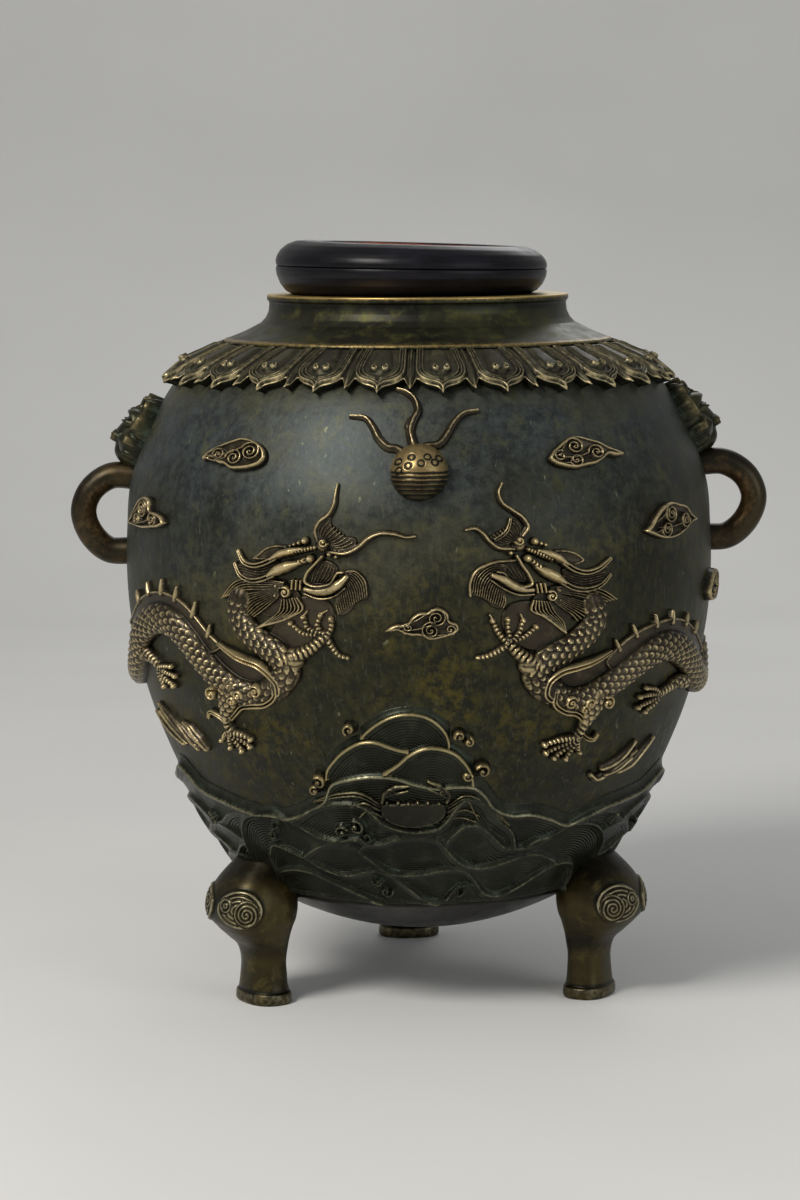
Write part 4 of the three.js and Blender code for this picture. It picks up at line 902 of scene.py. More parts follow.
# Feet: a hoof, a narrow ankle and a bulging knee with a scroll panel on each outer face
FOOT_ANGLES = {"foot_left": -56.5, "foot_right": 63.5, "foot_back": 183.5}
SOLE_REACH = BASE_RADIUS + 6
FOOT_RINGS = [
    (0, 92, 30.4, 21.4), (0.5, 92, 31, 22), (4.6, 92, 31, 22), (5.5, 92, 30.4, 21.6), (6.3, 92, 29.2, 20.6),
    (9, 92.1, 27.4, 19.8), (14, 92, 26, 19.2), (20.5, 92, 24.9, 18.9), (27, 92.3, 26.4, 21.4),
    (32.5, 94.6, 31.6, 27.4), (38, 96.8, 37.2, 34.4), (43, 97.8, 41.2, 39.8), (47, 97.8, 42, 41),
    (53, 97.4, 41, 40.2), (59, 96.4, 37.6, 36.4), (65, 94.6, 31.4, 30.2), (71, 91.4, 25.4, 23.6),
]
SQUARENESS = 0.82
HOOF_TOP = 5.4
ANKLE_HEIGHT = 27

# The panel on a knee's face, in millimetres from its middle: lobes with a radius, then an oval round them
KNEE_HEIGHT = 49
KNEE_RADIUS = 20.5
KNEE_FACE_TURN = 42
KNEE_LOBES = [(-3.4, -1.6, 7.0), (8.6, 2.2, 4.0)]
KNEE_PANEL = (1, 0.4, 13.2, 9.6)
KNEE_REACH = (15.5, 16)
KNEE_LINE_STEP = 2.0


def panel_lines(inside, turned_by=0):
    """Height of a plate with raised lines that follow its edge, from the distance in from that edge."""
    line = 0.5 - 0.5 * np.cos(TURN * (inside / KNEE_LINE_STEP + turned_by))
    return 0.25 + 1.15 * line ** 0.6 * np.clip(inside / 0.4, 0, 1)


def scroll_height(x, y):
    """Height of an oval panel of lines round a spiral and a ringed eye."""
    high, free = np.zeros_like(x), np.ones_like(x, bool)
    for number, (middle_x, middle_y, radius) in enumerate(KNEE_LOBES):
        away = np.hypot(x - middle_x, y - middle_y)
        turned_by = 0 if number else np.arctan2(y - middle_y, x - middle_x) / TURN
        high = np.where((away < radius) & free, panel_lines(radius - away, turned_by), high)
        free &= away >= radius
    middle_x, middle_y, half_width, half_height = KNEE_PANEL
    inside = half_height * (1 - np.hypot((x - middle_x) / half_width, (y - middle_y) / half_height))
    return np.where(free & (inside > 0), panel_lines(inside), high)


def foot(name, node):
    """A cast foot, closed at its sole and at its top."""
    rows = curve(FOOT_RINGS, 0.52)
    angle = np.linspace(0, TURN, 320, endpoint=False)
    squared = lambda value: np.sign(value) * np.abs(value) ** SQUARENESS
    across = 0.5 * rows[:, 2:3] * squared(np.cos(angle))
    along = 0.5 * rows[:, 3:4] * squared(np.sin(angle))
    height = np.repeat(rows[:, :1], len(angle), 1)
    high = np.zeros_like(across)
    for face in (-1, 1):
        away = (angle - np.radians(90 + face * KNEE_FACE_TURN) + math.pi) % TURN - math.pi
        x, y = np.broadcast_to(away * KNEE_RADIUS * -face, across.shape), height - KNEE_HEIGHT
        near = (np.abs(x) < KNEE_REACH[0]) & (np.abs(y) < KNEE_REACH[1])
        high = np.maximum(high, np.where(near, scroll_height(x, y), 0))
    hoof = 0.7 * (height > 0.8) * (height < 5.2) - 0.6 * hump(height, 6.2, 0.5)
    push = high + 0.3 * hoof
    across = across + np.cos(angle) * push
    along = along + np.sin(angle) * push
    points = np.stack([across, -(rows[:, 1:2] + along), height], -1)
    low_cap = points[:1] * [0, 0, 1] + [0, -SOLE_REACH, 0]
    top_cap = points[-1:] * [0, 0, 1] + [0, -FOOT_RINGS[-1][1], 0]
    points = np.concatenate([low_cap, points, top_cap]).reshape(-1, 3)
    detail = high - blurred(high, 3, True)
    # the hoof and the band above it are made bright, partly as rubbed brass and partly as a painted
    # reflection
    worn = np.clip(detail / 0.5, 0, 1) + 0.55 * (height < HOOF_TOP) + 0.3 * hump(height, KNEE_HEIGHT + 3, 9)
    worn += 0.4 * hump(height, 12, 8)
    # painted shade: darker in the scroll's hollows, in the crease above the hoof, at the narrow ankle and
    # towards the top under the body
    hollow = np.clip(-detail / 0.35, 0, 1) + hump(height, HOOF_TOP + 1, 0.9)
    hollow += np.clip((height - 58) / 12, 0, 0.6) + 0.5 * hump(height, ANKLE_HEIGHT, 6)
    pad = lambda field: np.concatenate([field[:1], field, field[-1:]])
    faces = grid_faces(len(rows) + 2, len(angle), close_columns=True)[:, ::-1]
    fields = {"worn": pad(worn), "recess": pad(np.clip(hollow, 0, 1))}
    piece = add_mesh(name, points, faces, fields, weld=True)
    piece.data.transform(Matrix.Rotation(math.radians(FOOT_ANGLES[node]), 4, "Z"))
    return finish(piece, "foot", "worn_bronze", node)


for node in FOOT_ANGLES:
    foot(node.replace("foot", "tripod_foot"), node)


# Lotus collar: petals with doubled rims and a curled heart, and pointed sepals between them
PETALS = 26
PETAL_TURN = 4.9
COLLAR_TOP = [(95.8, 318.2), (98.5, 317.3), (106.5, 313.8), (112, 311.4), (116.7, 308.8), (122.6, 303.7),
              (126.8, 297.8)]
COLLAR_EDGE = [(0, 36), (0.05, 33.8), (0.12, 32), (0.25, 30.9), (0.45, 29.8), (0.62, 28.2), (0.74, 26.4),
               (0.8, 25.8), (0.87, 28.4), (0.94, 31.4), (1, 34.2)]
HALF_PETAL = 15.3
PETAL_SINK = 1.6
# How the side of a petal goes down from its edge, and how far inside the edge it lies there
PETAL_SIDE = [(0.35, -0.3), (0.6, -0.32), (1, -0.1), (1.5, 0.3), (2.6, 0.7), (4, 1.2), (6.8, 2)]
# Where the outer end of a petal begins to curl up, over what length, and how high it ends
PETAL_CURL = (27, 8, 1.3)
COLLAR_SHADE_HEIGHT = 293


def both_ways(half):
    """An outline or line that is alike on both sides of the middle, from its right half."""
    return [*half, *[(-x, y) for x, y in half[::-1] if x]]


def petal_sheet():
    """One petal with the halves of its sepals, the inner edge at 0 and the tip furthest down the sheet."""
    rim = [(12.3, 0), (12.6, -8), (12.9, -15), (12.9, -20), (12.1, -24.4), (9.8, -27.6), (6.4, -29.4),
           (3.2, -30.4), (1.3, -32), (0, -36.4)]
    inner = [(8.6, 0), (8.9, -8), (9.3, -16), (9, -20.6), (7.6, -24), (4.6, -26.4), (0, -27.4)]
    heart = [(0, -1.2), (3.6, -1.8), (4.6, -6), (5.4, -13), (5.9, -18), (5.3, -21.8), (3.2, -24), (0, -24.7)]
    strokes = [
        Area(1.0, *both_ways(rim), rims=[(0.75, 1.3), (2.2, 0.9)], rim_high=1.2, edge=1.0),
        Stroke(plain, 1.2, 2.2, *both_ways(inner)),
        Area(2.6, *both_ways(heart), edge=3.6),
    ]
    for way, curl_start in ((-1, 100), (1, 80)):
        vein = [(2.7, -4), (3.3, -12), (3.4, -17)]
        sepal = [(HALF_PETAL, height) for height in (0, -18, -28, -34.2)]
        sepal_line = [(HALF_PETAL - inset, height)
                      for inset, height in ((1.5, 0), (1.4, -16), (1.1, -26), (0.3, -32))]
        vein, sepal, sepal_line = [[(way * x, y) for x, y in half] for half in (vein, sepal, sepal_line)]
        strokes += [
            Stroke(plain, 0.8, 2.7, *vein),
            *spiral((way * 2.3, -21.6), 2.7, 4.0, 1.2, 1.0, curl_start, -way, flat=True),
            Stroke(plain, [1.5, 1.5, 1.9, 1.2], [1.4, 1.5, 1.9], *sepal),
            Stroke(plain, [0.9, 1.0, 0.9], 1.1, *sepal_line),
        ]
    return Sheet((-HALF_PETAL - 1, -38), (HALF_PETAL + 1, 1), 0.25).draw(strokes)


def lotus_collar():
    """The petals and sepals all the way round, with their outer sides."""
    sheet = petal_sheet()
    worn_map = wear(sheet.height, sheet.pitch, 0.42)
    top = curve(COLLAR_TOP, 0.5)
    arc = lengths(top)
    ahead = np.gradient(top, arc, axis=0)
    normal = np.stack([-ahead[:, 1], ahead[:, 0]], 1)
    per_petal, rows = ((64, 80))
    columns = PETALS * per_petal
    share = (np.arange(columns) % per_petal) / per_petal
    offset = np.where(share < 0.5, share, share - 1) * 2
    edge = np.interp(np.abs(offset), *zip(*COLLAR_EDGE))
    out = np.linspace(0, 1, rows)[:, None] * edge[None, :]
    lateral = offset[None, :] * HALF_PETAL + 0 * out
    curl_start, curl_span, curl_high = PETAL_CURL
    curl = curl_high * np.clip((out - curl_start) / curl_span, 0, 1) ** 2
    lift = np.clip(sheet.sample(sheet.height, lateral, -out), 0, None) - PETAL_SINK + curl
    fields = {key: sheet.sample(value, lateral, -out) for key, value in worn_map.items()}
    fields["worn"] += 0.9 * np.clip(1 - (edge[None, :] - out) / 1.2, 0, 1)
    drops, inset = np.array(PETAL_SIDE).T[:, :, None]
    wide = np.ones((1, columns))
    # on the petals' outer sides: rubbed near the edge, and painted shade growing down the underside
    fields["worn"] = np.concatenate([fields["worn"], np.clip(0.5 - drops, 0, 1) * wide])
    fields["recess"] = np.concatenate([fields["recess"], np.clip(0.2 + drops / 3, 0, 1) * wide])
    out, lift = np.concatenate([out, edge[None, :] - inset]), np.concatenate([lift, lift[-1:] - drops])
    over = np.clip(out - arc[-1], 0, None)
    radius, height = [
        np.interp(out, arc, top[:, axis]) + lift * np.interp(out, arc, normal[:, axis])
        + over * ahead[-1, axis] for axis in (0, 1)]
    angle = np.radians(PETAL_TURN + np.arange(columns) * 360 / columns)
    halo[int(arc_at(COLLAR_SHADE_HEIGHT) / HALO_STEP):] = 1
    faces = grid_faces(len(out), columns, close_columns=True)[:, ::-1]
    return add_mesh("lotus_petals", round_axis(radius, angle, height).reshape(-1, 3), faces, fields)


finish(lotus_collar(), "collar", "relief_bronze", "lotus_collar")

# Wave band: crest lines in front of each other, as degrees off the front and heights, the foremost first
FRONT_WAVES = [
    [(-44, 69.5), (-40, 72), (-35, 73.3), (-31, 72.3), (-27, 69.5), (-22, 65.5), (-17, 61.5), (-13, 58.5)],
    [(-40, 85.5), (-36, 84), (-31, 80), (-27, 75.8), (-22, 73), (-19.6, 73.2), (-14.5, 75.9), (-12, 76.3),
     (-9.4, 75.1), (-6, 71), (-3, 66), (0, 61.5), (3, 59)],
    [(-11, 74), (-9.4, 74.6), (-4, 74.2), (0.8, 75), (4, 76.4), (9, 77), (11, 76.3), (13.6, 73), (16, 68),
     (18.7, 63), (21.2, 61), (24, 60.8), (28, 63.5), (32, 68), (36, 72.5), (41, 75), (46, 73)],
    [(-31, 82), (-28.5, 85), (-26, 87.6), (-21, 89.4), (-18.6, 89.4), (-16.5, 88), (-14.5, 85), (-12, 80.9),
     (-9.4, 76.6), (-6, 74)],
    [(-13.5, 90), (-9.4, 90.9), (-6.3, 93.4), (-3.3, 94.6), (0.8, 94.6), (3.4, 93.3), (5.9, 88.7), (8.5, 83),
     (11, 79.4), (15, 77.3), (18.7, 77.9), (22.2, 79.7), (25.3, 81.3), (28.4, 82.3), (31.4, 81.9), (35, 79.5),
     (39, 75.5)],
    [(-46, 98), (-40, 101), (-35, 101.2), (-30, 98), (-27, 95), (-24.7, 92.6), (-21, 91.4), (-17, 92.6),
     (-14, 92)],
    [(10, 100), (13, 99.8), (16, 95.9), (18.7, 90.9), (21.2, 87.3), (25.3, 86.3), (28.9, 86.6), (32.4, 90.1),
     (35.5, 93.7), (40, 95.6), (46, 94), (52, 88)],
    [(-32, 99), (-29.8, 101.1), (-24.7, 107.4), (-21, 110), (-17.5, 110.9), (-15, 110.9), (-13, 110),
     (-11, 107), (-8.5, 101.5), (-5.3, 98.6), (-0.2, 97.4), (3.4, 98.8), (5.5, 103), (7, 108), (9, 112.6),
     (11, 113.6), (13, 112), (16, 105.5), (18.5, 101)],
]
BAND_TOP = [
    (-180, 99.5), (-168, 114.5), (-155, 104.5), (-142, 113.3), (-128, 100.8), (-114, 110.8), (-102, 99.5),
    (-90, 107), (-78, 108.3), (-68, 117), (-61, 108.3), (-52, 104.5), (-44, 101.5), (-32, 101), (-26, 105.8),
    (-22, 110.8), (-19, 120.5), (-15, 123.4), (-10, 125.2), (-5, 124.4), (-1, 121.5), (3, 119.6), (8, 120.2),
    (11, 119.4), (14, 114.5), (16, 109), (20, 104.5), (26, 103.5), (31, 100.4), (37, 96), (42, 98.5),
    (47, 101.5), (55, 103.5), (63, 105.3), (74, 112), (86, 102), (98, 109.5), (110, 100.8), (124, 112),
    (138, 102), (152, 110.8), (166, 100.8), (180, 99.5),
]
BAND_SHEET_TOP = 131
BAND_BEVEL_REACH = 6
WAVE_ROWS = [63, 71.5, 80, 88.5, 97]
WAVE_SPACING = 30
SIDE_START, SIDE_STOP = 44, 318
WAVE_HUMP = [(-17, -8), (-12, -6), (-7, -2), (-2, 1.8), (3, 2.6), (8, 0.4), (13, -4.5), (18, -7)]
# Foam spirals at the front: degrees, height, radius, height over the wall, line width, start and way
FRONT_FOAM = [
    (-15, 99, 5.0, 5.0, 2.3, 100, -1), (-18.8, 96, 4.4, 4.6, 2.2, 30, 1), (-13, 94, 4.0, 4.4, 2.0, 200, 1),
    (-36, 95.4, 4.2, 4.4, 2.1, 60, 1), (-39, 91, 3.8, 4.2, 2.0, 60, -1), (-12, 70, 4.4, 4.2, 2.1, 90, 1),
    (-10, 64.5, 4.0, 4.2, 2.0, 0, -1), (10.5, 64, 4.6, 4.2, 2.1, 90, -1),
]
FOAM_LINE = [(7.5, 60), (9, 64), (11.5, 67.5), (14.5, 67), (17, 62.5)]
SIDE_FOAM = [(54, 93), (72, 84), (98, 95), (131, 88), (168, 93), (-150, 86), (-120, 95), (-96, 85), (-62, 92)]


def side_waves():
    """Waves for the sides and the back, in staggered rows, the foremost first."""
    waves = []
    for row, height in enumerate(WAVE_ROWS):
        places = np.arange(SIDE_START + (row % 2) * WAVE_SPACING / 2, SIDE_STOP, WAVE_SPACING)
        for place in places + rng.uniform(-2.5, 2.5, len(places)):
            lean, rise = rng.choice([-1, 1]), rng.uniform(-1.2, 1.2)
            route = sorted((place + lean * x, height + rise + y) for x, y in WAVE_HUMP)
            waves.append([((x + 180) % 360 - 180, y) for x, y in route])
    return waves


def in_turn(route):
    """A route whose degrees keep rising where it crosses the back."""
    angles = np.degrees(np.unwrap(np.radians([angle for angle, _ in route])))
    return [(angle, height) for angle, (_, height) in zip(angles, route)]


def wave_band():
    """The engraved water all round the foot of the wall, with foam between its crests."""
    sheet = WallSheet([], 0.54, margin=0, around=True,
                      spots=[(-180, FOOT_HEIGHT + 0.3), (179.75, BAND_SHEET_TOP)])
    sheet.draw([Wave(*BAND_TOP, flanks=False, low=1.4, roll=2.2, bevel=4.2, bevel_high=2.2, polish=0.6)])
    for route in side_waves()[::-1] + FRONT_WAVES[::-1]:
        route = in_turn(route)
        for turn in (-360, 0, 360):
            moved = [(angle + turn, height) for angle, height in route]
            if moved[0][0] < 190 and moved[-1][0] > -190:
                sheet.draw([Wave(*moved)])
    top = curve(sheet.flat(BAND_TOP), 1)
    above = sheet.y[:, None] > np.interp(sheet.x, top[:, 0], top[:, 1])[None, :] + BAND_BEVEL_REACH
    sheet.height[above] = SHEET_FLOOR
    for place, height, radius, high, width, start, way in FRONT_FOAM:
        sheet.draw(spiral((place, height), radius, high, width, 1.0, start, way))
    sheet.draw([Stroke(plain, 2.0, 4.2, *FOAM_LINE)])
    for place in SIDE_FOAM:
        sheet.draw(spiral(place, 4.6, 4.8, 2.2, 1.0, 80, rng.choice([-1, 1])))
    foot_rim = sheet.y[:, None] - sheet.y[0]
    sheet.height += 0.9 * dome((foot_rim - 1) / 1.4)
    return sheet.object("wave_skin", lift=0.4, sink=0.9, fine=1.0)


finish(wave_band(), "waves", "relief_bronze", "wave_band")

# The mound at the front: each wave's crest line, the line where its face ends, and the height of that face
TIERS = {
    "wave_tier_upper": (
        [(-12, 143.5), (-11, 146), (-9, 149.8), (-6, 153.8), (-2.5, 155.5), (1, 154), (3.5, 150), (5, 145.6),
         (5.6, 142)],
        [(-12, 142.6), (-8, 141.6), (-5, 138.6), (-2, 137.6), (1, 139.4), (4, 138.8), (6, 137)], 1.1),
    "wave_tier_left": (
        [(-20.4, 122.5), (-20, 126), (-18, 132), (-15, 138), (-12, 141.5), (-9, 142), (-6, 139.6),
         (-4, 138.2), (-2.4, 137.6)],
        [(-21, 121), (-18, 122.4), (-15, 124), (-10, 125.4), (-7.5, 126), (-5, 130), (-2.4, 135.4)], 1.5),
    "wave_tier_right": (
        [(-8, 126.3), (-5, 131), (-2.5, 136), (1, 139.5), (4, 139), (7, 136), (9, 131.5), (10.5, 126),
         (11, 122)],
        [(-8, 125.4), (-4, 124), (-1, 121.6), (3, 119.8), (8, 120.4), (11.5, 119)], 1.9),
}
for name, (crest, foot_line, low) in TIERS.items():
    wave = Wave(*crest, foot=foot_line, low=low, roll=1.6, flanks=False, bevel=2.4, polish=0.6)
    piece = WallSheet([wave], 0.33).object(name.replace("wave_tier", "wave_mound"), lift=0.3)
    finish(piece, "tiers", "relief_bronze", name)

# Hooked wave ends, as spirals: degrees, height, radius, where they start and which way
CURLS = {
    "foam_curl_upper_left": [(-13.9, 147.3, 3.9, 230, -1)],
    "foam_curl_upper_right": [(7.4, 144.4, 3.4, 200, -1), (9.2, 141.6, 3.2, 60, -1)],
    "foam_curl_lower_left": [(-21.8, 120.6, 4.2, 120, -1), (-23.2, 116.4, 3.4, 60, 1)],
    "foam_curl_lower_right": [(12.6, 127, 4.6, 150, -1), (9.4, 125, 3.4, 0, -1)],
}
for name, curls in CURLS.items():
    strokes = []
    for at, height, radius, start, way in curls:
        strokes += spiral((at, height), radius, 5.0, 2.3, 1.05, start, way)
        strokes.append(spot((at, height), radius * 0.9, 2.2))
    piece = WallSheet(strokes, 0.3).object(name.replace("foam", "wave_foam"))
    finish(piece, "curls", "worn_bronze", name)

# Crab: a shell with a beaded front edge, two raised pincers, and legs and feelers, three on the left and four
# on the right
crab_strokes = [
    Area(3.4, (-8.6, 110.6), (-5, 111.6), (-1.8, 112), (1.6, 111.6), (5.2, 110.6), (5.6, 106.6), (4.2, 102.4),
         (1, 99.6), (-1.8, 99), (-4.8, 99.6), (-7.8, 102.4), (-9, 106.6),
         rims=[(0.8, 1.4)], rim_high=0.7, edge=1.4, hollow=0.4),
    *[spot((x, 111.9 + 0.4 * math.cos(x)), 1.1, 4.6) for x in (-7.4, -5, -2.8, -0.8, 1.4, 3.8)],
    Stroke(plain, [2.4, 3.4, 3.8, 1.4], 4.4, (-8.4, 112), (-7.6, 116.4), (-5.4, 119.2), (-2.6, 120.6)),
    Stroke(plain, [2.2, 2.8, 1.2], 4.2, (-8.2, 114.6), (-5.6, 116.4), (-2.8, 118)),
    Stroke(plain, [2.4, 3.4, 3.8, 1.4], 4.4, (5.4, 112), (5.8, 115.4), (4.4, 119), (1.4, 122.8)),
    Stroke(plain, [2.2, 2.8, 1.2], 4.2, (5.8, 113.6), (3.6, 116.6), (1.4, 119)),
    *spiral((-6.6, 117.2), 2.6, 4.6, 1.2, 1.2), *spiral((4.4, 117.6), 2.6, 4.6, 1.2, 1.2, 90, -1),
    Stroke(twin, [2.2, 3.6, 3, 0.8], 3.8, (-9, 110), (-13, 115), (-17.6, 114.6), (-24, 110.6)),
    Stroke(plain, [2, 2, 0.9], 3.6, (-9, 107.6), (-12.4, 111), (-15.6, 108.6)),
    Stroke(plain, [2, 2, 0.9], 3.4, (-8.8, 104.6), (-12, 107), (-14, 103.4)),
    Stroke(twin, [2.2, 3, 2.4, 0.8], 3.8, (5.8, 109.6), (9.4, 114.2), (14, 110), (20.6, 98.4)),
    Stroke(plain, [1.8, 1.8, 0.9], 3.6, (5.8, 106.8), (10, 112), (11.6, 106.4), (12.8, 102.6)),
    Stroke(plain, [1.8, 1.6, 0.9], 3.4, (5.6, 104.4), (9.4, 107.6), (13, 104.2)),
    Stroke(plain, [1.8, 1.4, 0.9], 3.2, (5, 102.4), (8.6, 103.6), (12.4, 101)),
]
finish(WallSheet(crab_strokes, 0.3).object("wave_crab", lift=0.3), "crab", "relief_bronze", "crab")

# Pearl: a ball with ring punches above and turned grooves below, and three flames that rise from it
PEARL = (-0.2, 264.2, 13.4)
PEARL_EDGE = 112
PUNCH_RADIUS, PUNCH_HALF, PUNCH_DEPTH = 1.45, 0.55, 0.35
GROOVE_STEP, GROOVE_START, GROOVE_DEPTH = 2.1, 1.5, 0.5
PEARL_RINGS = [(-9.5, 2.8), (-3.4, 4), (3.9, 4.2), (9.2, 4.4), (-9.5, -1.6), (-5, -0.2), (1, 0.8), (7.2, 1.8)]


def pearl():
    """The ball, which faces straight out from the wall."""
    place, height, radius = PEARL
    arc, angle = arc_at(height), math.radians(place)
    normal_out, normal_up = along_wall(wall_normal, arc)
    tilt = np.arctan2(normal_up, normal_out)
    rows, columns = ((110, 200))
    polar = np.linspace(0, math.radians(PEARL_EDGE), rows)[:, None]
    round_ = np.linspace(0, TURN, columns, endpoint=False)[None, :]
    x, y = radius * np.sin(polar) * np.cos(round_), radius * np.sin(polar) * np.sin(round_)
    out = radius * np.cos(polar) * np.ones_like(round_)
    dent = np.zeros_like(x)
    for ring_x, ring_y in PEARL_RINGS:
        gap = np.hypot(x - ring_x, y - ring_y)
        dent = np.maximum(dent, PUNCH_DEPTH * dome((gap - PUNCH_RADIUS) / PUNCH_HALF) * (out > 0))
    line = y * 0.93 + out * 0.32 - 0.6
    fade = np.clip((GROOVE_START - line) / GROOVE_START, 0, 1)
    groove = np.where(line < GROOVE_START,
                      GROOVE_DEPTH * (0.5 + 0.5 * np.cos(TURN * line / GROOVE_STEP)) * fade, 0)
    scale = 1 - (dent + groove) / radius
    x, y, out = x * scale, y * scale, out * scale
    side = np.array([math.cos(angle), math.sin(angle), 0])
    normal = np.array([math.cos(tilt) * math.sin(angle), -math.cos(tilt) * math.cos(angle), math.sin(tilt)])
    up = np.cross(normal, side)
    points = on_wall(angle, arc, -0.6) + x[..., None] * side + y[..., None] * up + out[..., None] * normal
    # painted shade in the ring punches, the grooves and round the ball's foot against the wall
    recess = (np.clip(dent / PUNCH_DEPTH, 0, 1) + np.clip(groove / GROOVE_DEPTH, 0, 1)
              + np.clip((polar - 1.45) / 0.3, 0, 1))
    # brighter on its upper half, partly as rubbed brass and partly as a painted highlight from above
    worn = 1.0 - 0.45 * np.clip(-line / 8, 0, 1) - 0.8 * recess
    fields = {"worn": np.clip(worn, 0, 1.2), "recess": np.clip(recess, 0, 1)}
    faces = grid_faces(rows, columns, close_columns=True)
    piece = add_mesh("pearl_ball", points.reshape(-1, 3), faces, fields, weld=True)
    return finish(piece, "brass", "worn_bronze", "pearl")


pearl()
flame = partial(Stroke, ridged, [4.6, 4.4, 4.2, 3.8, 3.2, 2.2], [3.2, 3, 3, 2.6])
FLAMES = {
    "left": [flame((-3.4, 273), (-4.6, 274.6), (-6, 275), (-8, 278.6), (-9.5, 284), (-11, 287.6),
                   (-14.3, 288.5))],
    "middle": [flame((-1.4, 277), (-1.9, 283), (-1.3, 287), (-0.4, 291), (-0.9, 295.4), (-3, 299),
                     (-4.8, 300)),
               Stroke(ridged, [3, 2.4, 1.4], 1.6, (-1.6, 281), (-2.6, 284), (-2.2, 288))],
    "right": [flame((1.2, 275.4), (3.8, 276.6), (5.4, 280.6), (7, 286), (9, 289.6), (12, 290.8))],
}
for name, strokes in FLAMES.items():
    piece = WallSheet(strokes, 0.3).object(f"pearl_licking_flame_{name}")
    finish(piece, "relief", "worn_bronze", f"pearl_flame_{name}")

# Clouds: the side of the vase, a scalloped outline from its drawn-out tail on, and the spirals within it
CLOUDS = {
    "cloud_upper_left": (-1, [
        (46.8, 266.4), (45.6, 269.4), (44.2, 271.6), (42, 273.8), (39.6, 275.8), (37.4, 277.2), (35, 276.6),
        (32.6, 274.6), (31.2, 271.8), (30.8, 268.6), (31.6, 266), (33.4, 264.2), (36, 263.2), (38.6, 263.2),
        (40.2, 264.8), (42, 265.2), (43.4, 266.8), (44.8, 267.2)],
        [(34.4, 271.0, 4.6, 30, 1), (38.0, 268.0, 4.1, 0, 1), (42.0, 269.0, 3.3, 0, 1)]),
    "cloud_upper_right": (1, [
        (25.2, 268.2), (26, 271), (27.6, 273.6), (29, 275.6), (30.6, 277.3), (32.8, 277.6), (35, 276.2),
        (37.4, 274.6), (39.6, 272), (41.6, 270.4), (43.4, 268.4), (41, 267.6), (39, 268.4), (37.4, 266.6),
        (35.4, 264.8), (33.2, 264.2), (30.6, 263.4), (28, 264.4), (26.2, 265.8)],
        [(31.2, 272.9, 4.1, 150, -1), (30.9, 267.0, 3.5, 200, 1), (36.0, 269.8, 3.9, 180, -1),
         (27.6, 269.0, 3.0, 60, 1)]),
    "cloud_middle": (1, [
        (-6.6, 192.8), (-5.6, 195.4), (-4.2, 196.8), (-2.6, 197), (-1.8, 199.6), (-0.2, 202.2), (1.2, 202.4),
        (2.6, 204.2), (4.2, 203.2), (5, 200.8), (5.1, 198.6), (6.6, 196.6), (6.8, 193.8), (5.4, 191.4),
        (3.6, 190), (1.4, 189.4), (-0.2, 191.2), (-1.6, 191.2), (-3, 192.2), (-4.6, 193.8)],
        [(2.7, 199.4, 4.6, 120, -1), (1.7, 193.9, 4.4, 60, 1), (5.2, 194.2, 2.8, 300, 1),
         (-2.2, 195.4, 2.4, 160, 1)]),
    "cloud_side_left": (-1, [
        (73, 233.4), (70.6, 236.4), (68.4, 241), (66, 245.6), (63, 247.4), (61, 245.4), (60.6, 242),
        (58.4, 241), (56, 239.4), (55, 236.6), (56.8, 234.4), (60, 233.2), (64, 232.2), (68, 232.4)],
        [(64, 241.6, 5.0, 90, 1), (59.2, 237, 4.2, 0, 1), (66.6, 235.8, 3.8, 200, -1)]),
    "cloud_side_right": (1, [
        (45.8, 233.6), (47.2, 236.4), (48.6, 240), (51, 243.8), (54, 245.6), (57, 244.2), (59.6, 242.6),
        (61.2, 239.4), (64.4, 235.2), (61.6, 234.2), (59, 231.6), (55.6, 229), (51.6, 228.6), (48, 231)],
        [(53.4, 240.2, 5.0, 90, 1), (51.8, 233.4, 4.4, 180, 1), (58.6, 236.6, 4.4, 0, -1)]),
    "cloud_flank_right": (1, [
        (71.6, 199), (72.8, 203), (75, 207), (78, 208.4), (81, 206.6), (84.4, 202.6), (87, 198),
        (83.6, 197.4), (80.6, 194), (76.4, 193), (73, 195)],
        [(77.4, 203, 3.2, 90, 1), (76.4, 197.6, 2.8, 200, 1), (81, 199.4, 2.8, 0, -1)]),
}
# Above this height the wall leans away from the eye, and spirals are drawn wider to look round
SHOULDER_BEND = 255


def moved(route, across, up):
    return [(place[0] + across, place[1] + up, *place[2:]) for place in route]


def drawn_tail(place, radius, start, wide, tip):
    """A thin line from where a spiral begins towards the tip of its cloud."""
    turned_to = math.radians(start)
    rim = (place[0] + wide * math.degrees(radius / radius_at(place[1])) * math.cos(turned_to),
           place[1] + radius * math.sin(turned_to))
    first, last = [(mix(rim[0], tip[0], share), mix(rim[1], tip[1], share)) for share in (0.35, 0.72)]
    return Stroke(plain, [1, 0.9, 0.6], 4, rim, (first[0], first[1] - 0.3 * radius), last)


for name, model, across, up, side in (
        ("cloud_back_left", "cloud_upper_left", 104, -3, -1),
        ("cloud_back_right", "cloud_upper_left", 104, -3, 1),
        ("cloud_back_middle", "cloud_middle", 180, 10, 1)):
    outline, curls = CLOUDS[model][1:]
    CLOUDS[name] = (side, moved(outline, across, up), moved(curls, across, up))
for name, (side, outline, curls) in CLOUDS.items():
    strokes = [Area(3.0, *outline, rims=[(0.85, 1.6)], rim_high=1.1, edge=1.2, hollow=1.2)]
    for at, height, radius, start, way in curls:
        wide = 1.35 if height > SHOULDER_BEND else 1.1
        strokes.append(drawn_tail((at, height), 0.85 * radius, start, wide, outline[0]))
        strokes += spiral((at, height), radius, 4.3, 1.0, 0.44 * radius, start, way, wide=wide)
    piece = WallSheet(strokes, 0.28, side=side).object(name.replace("cloud", "cloud_scroll"), lift=0.2)
    finish(piece, "relief", "relief_bronze", name)


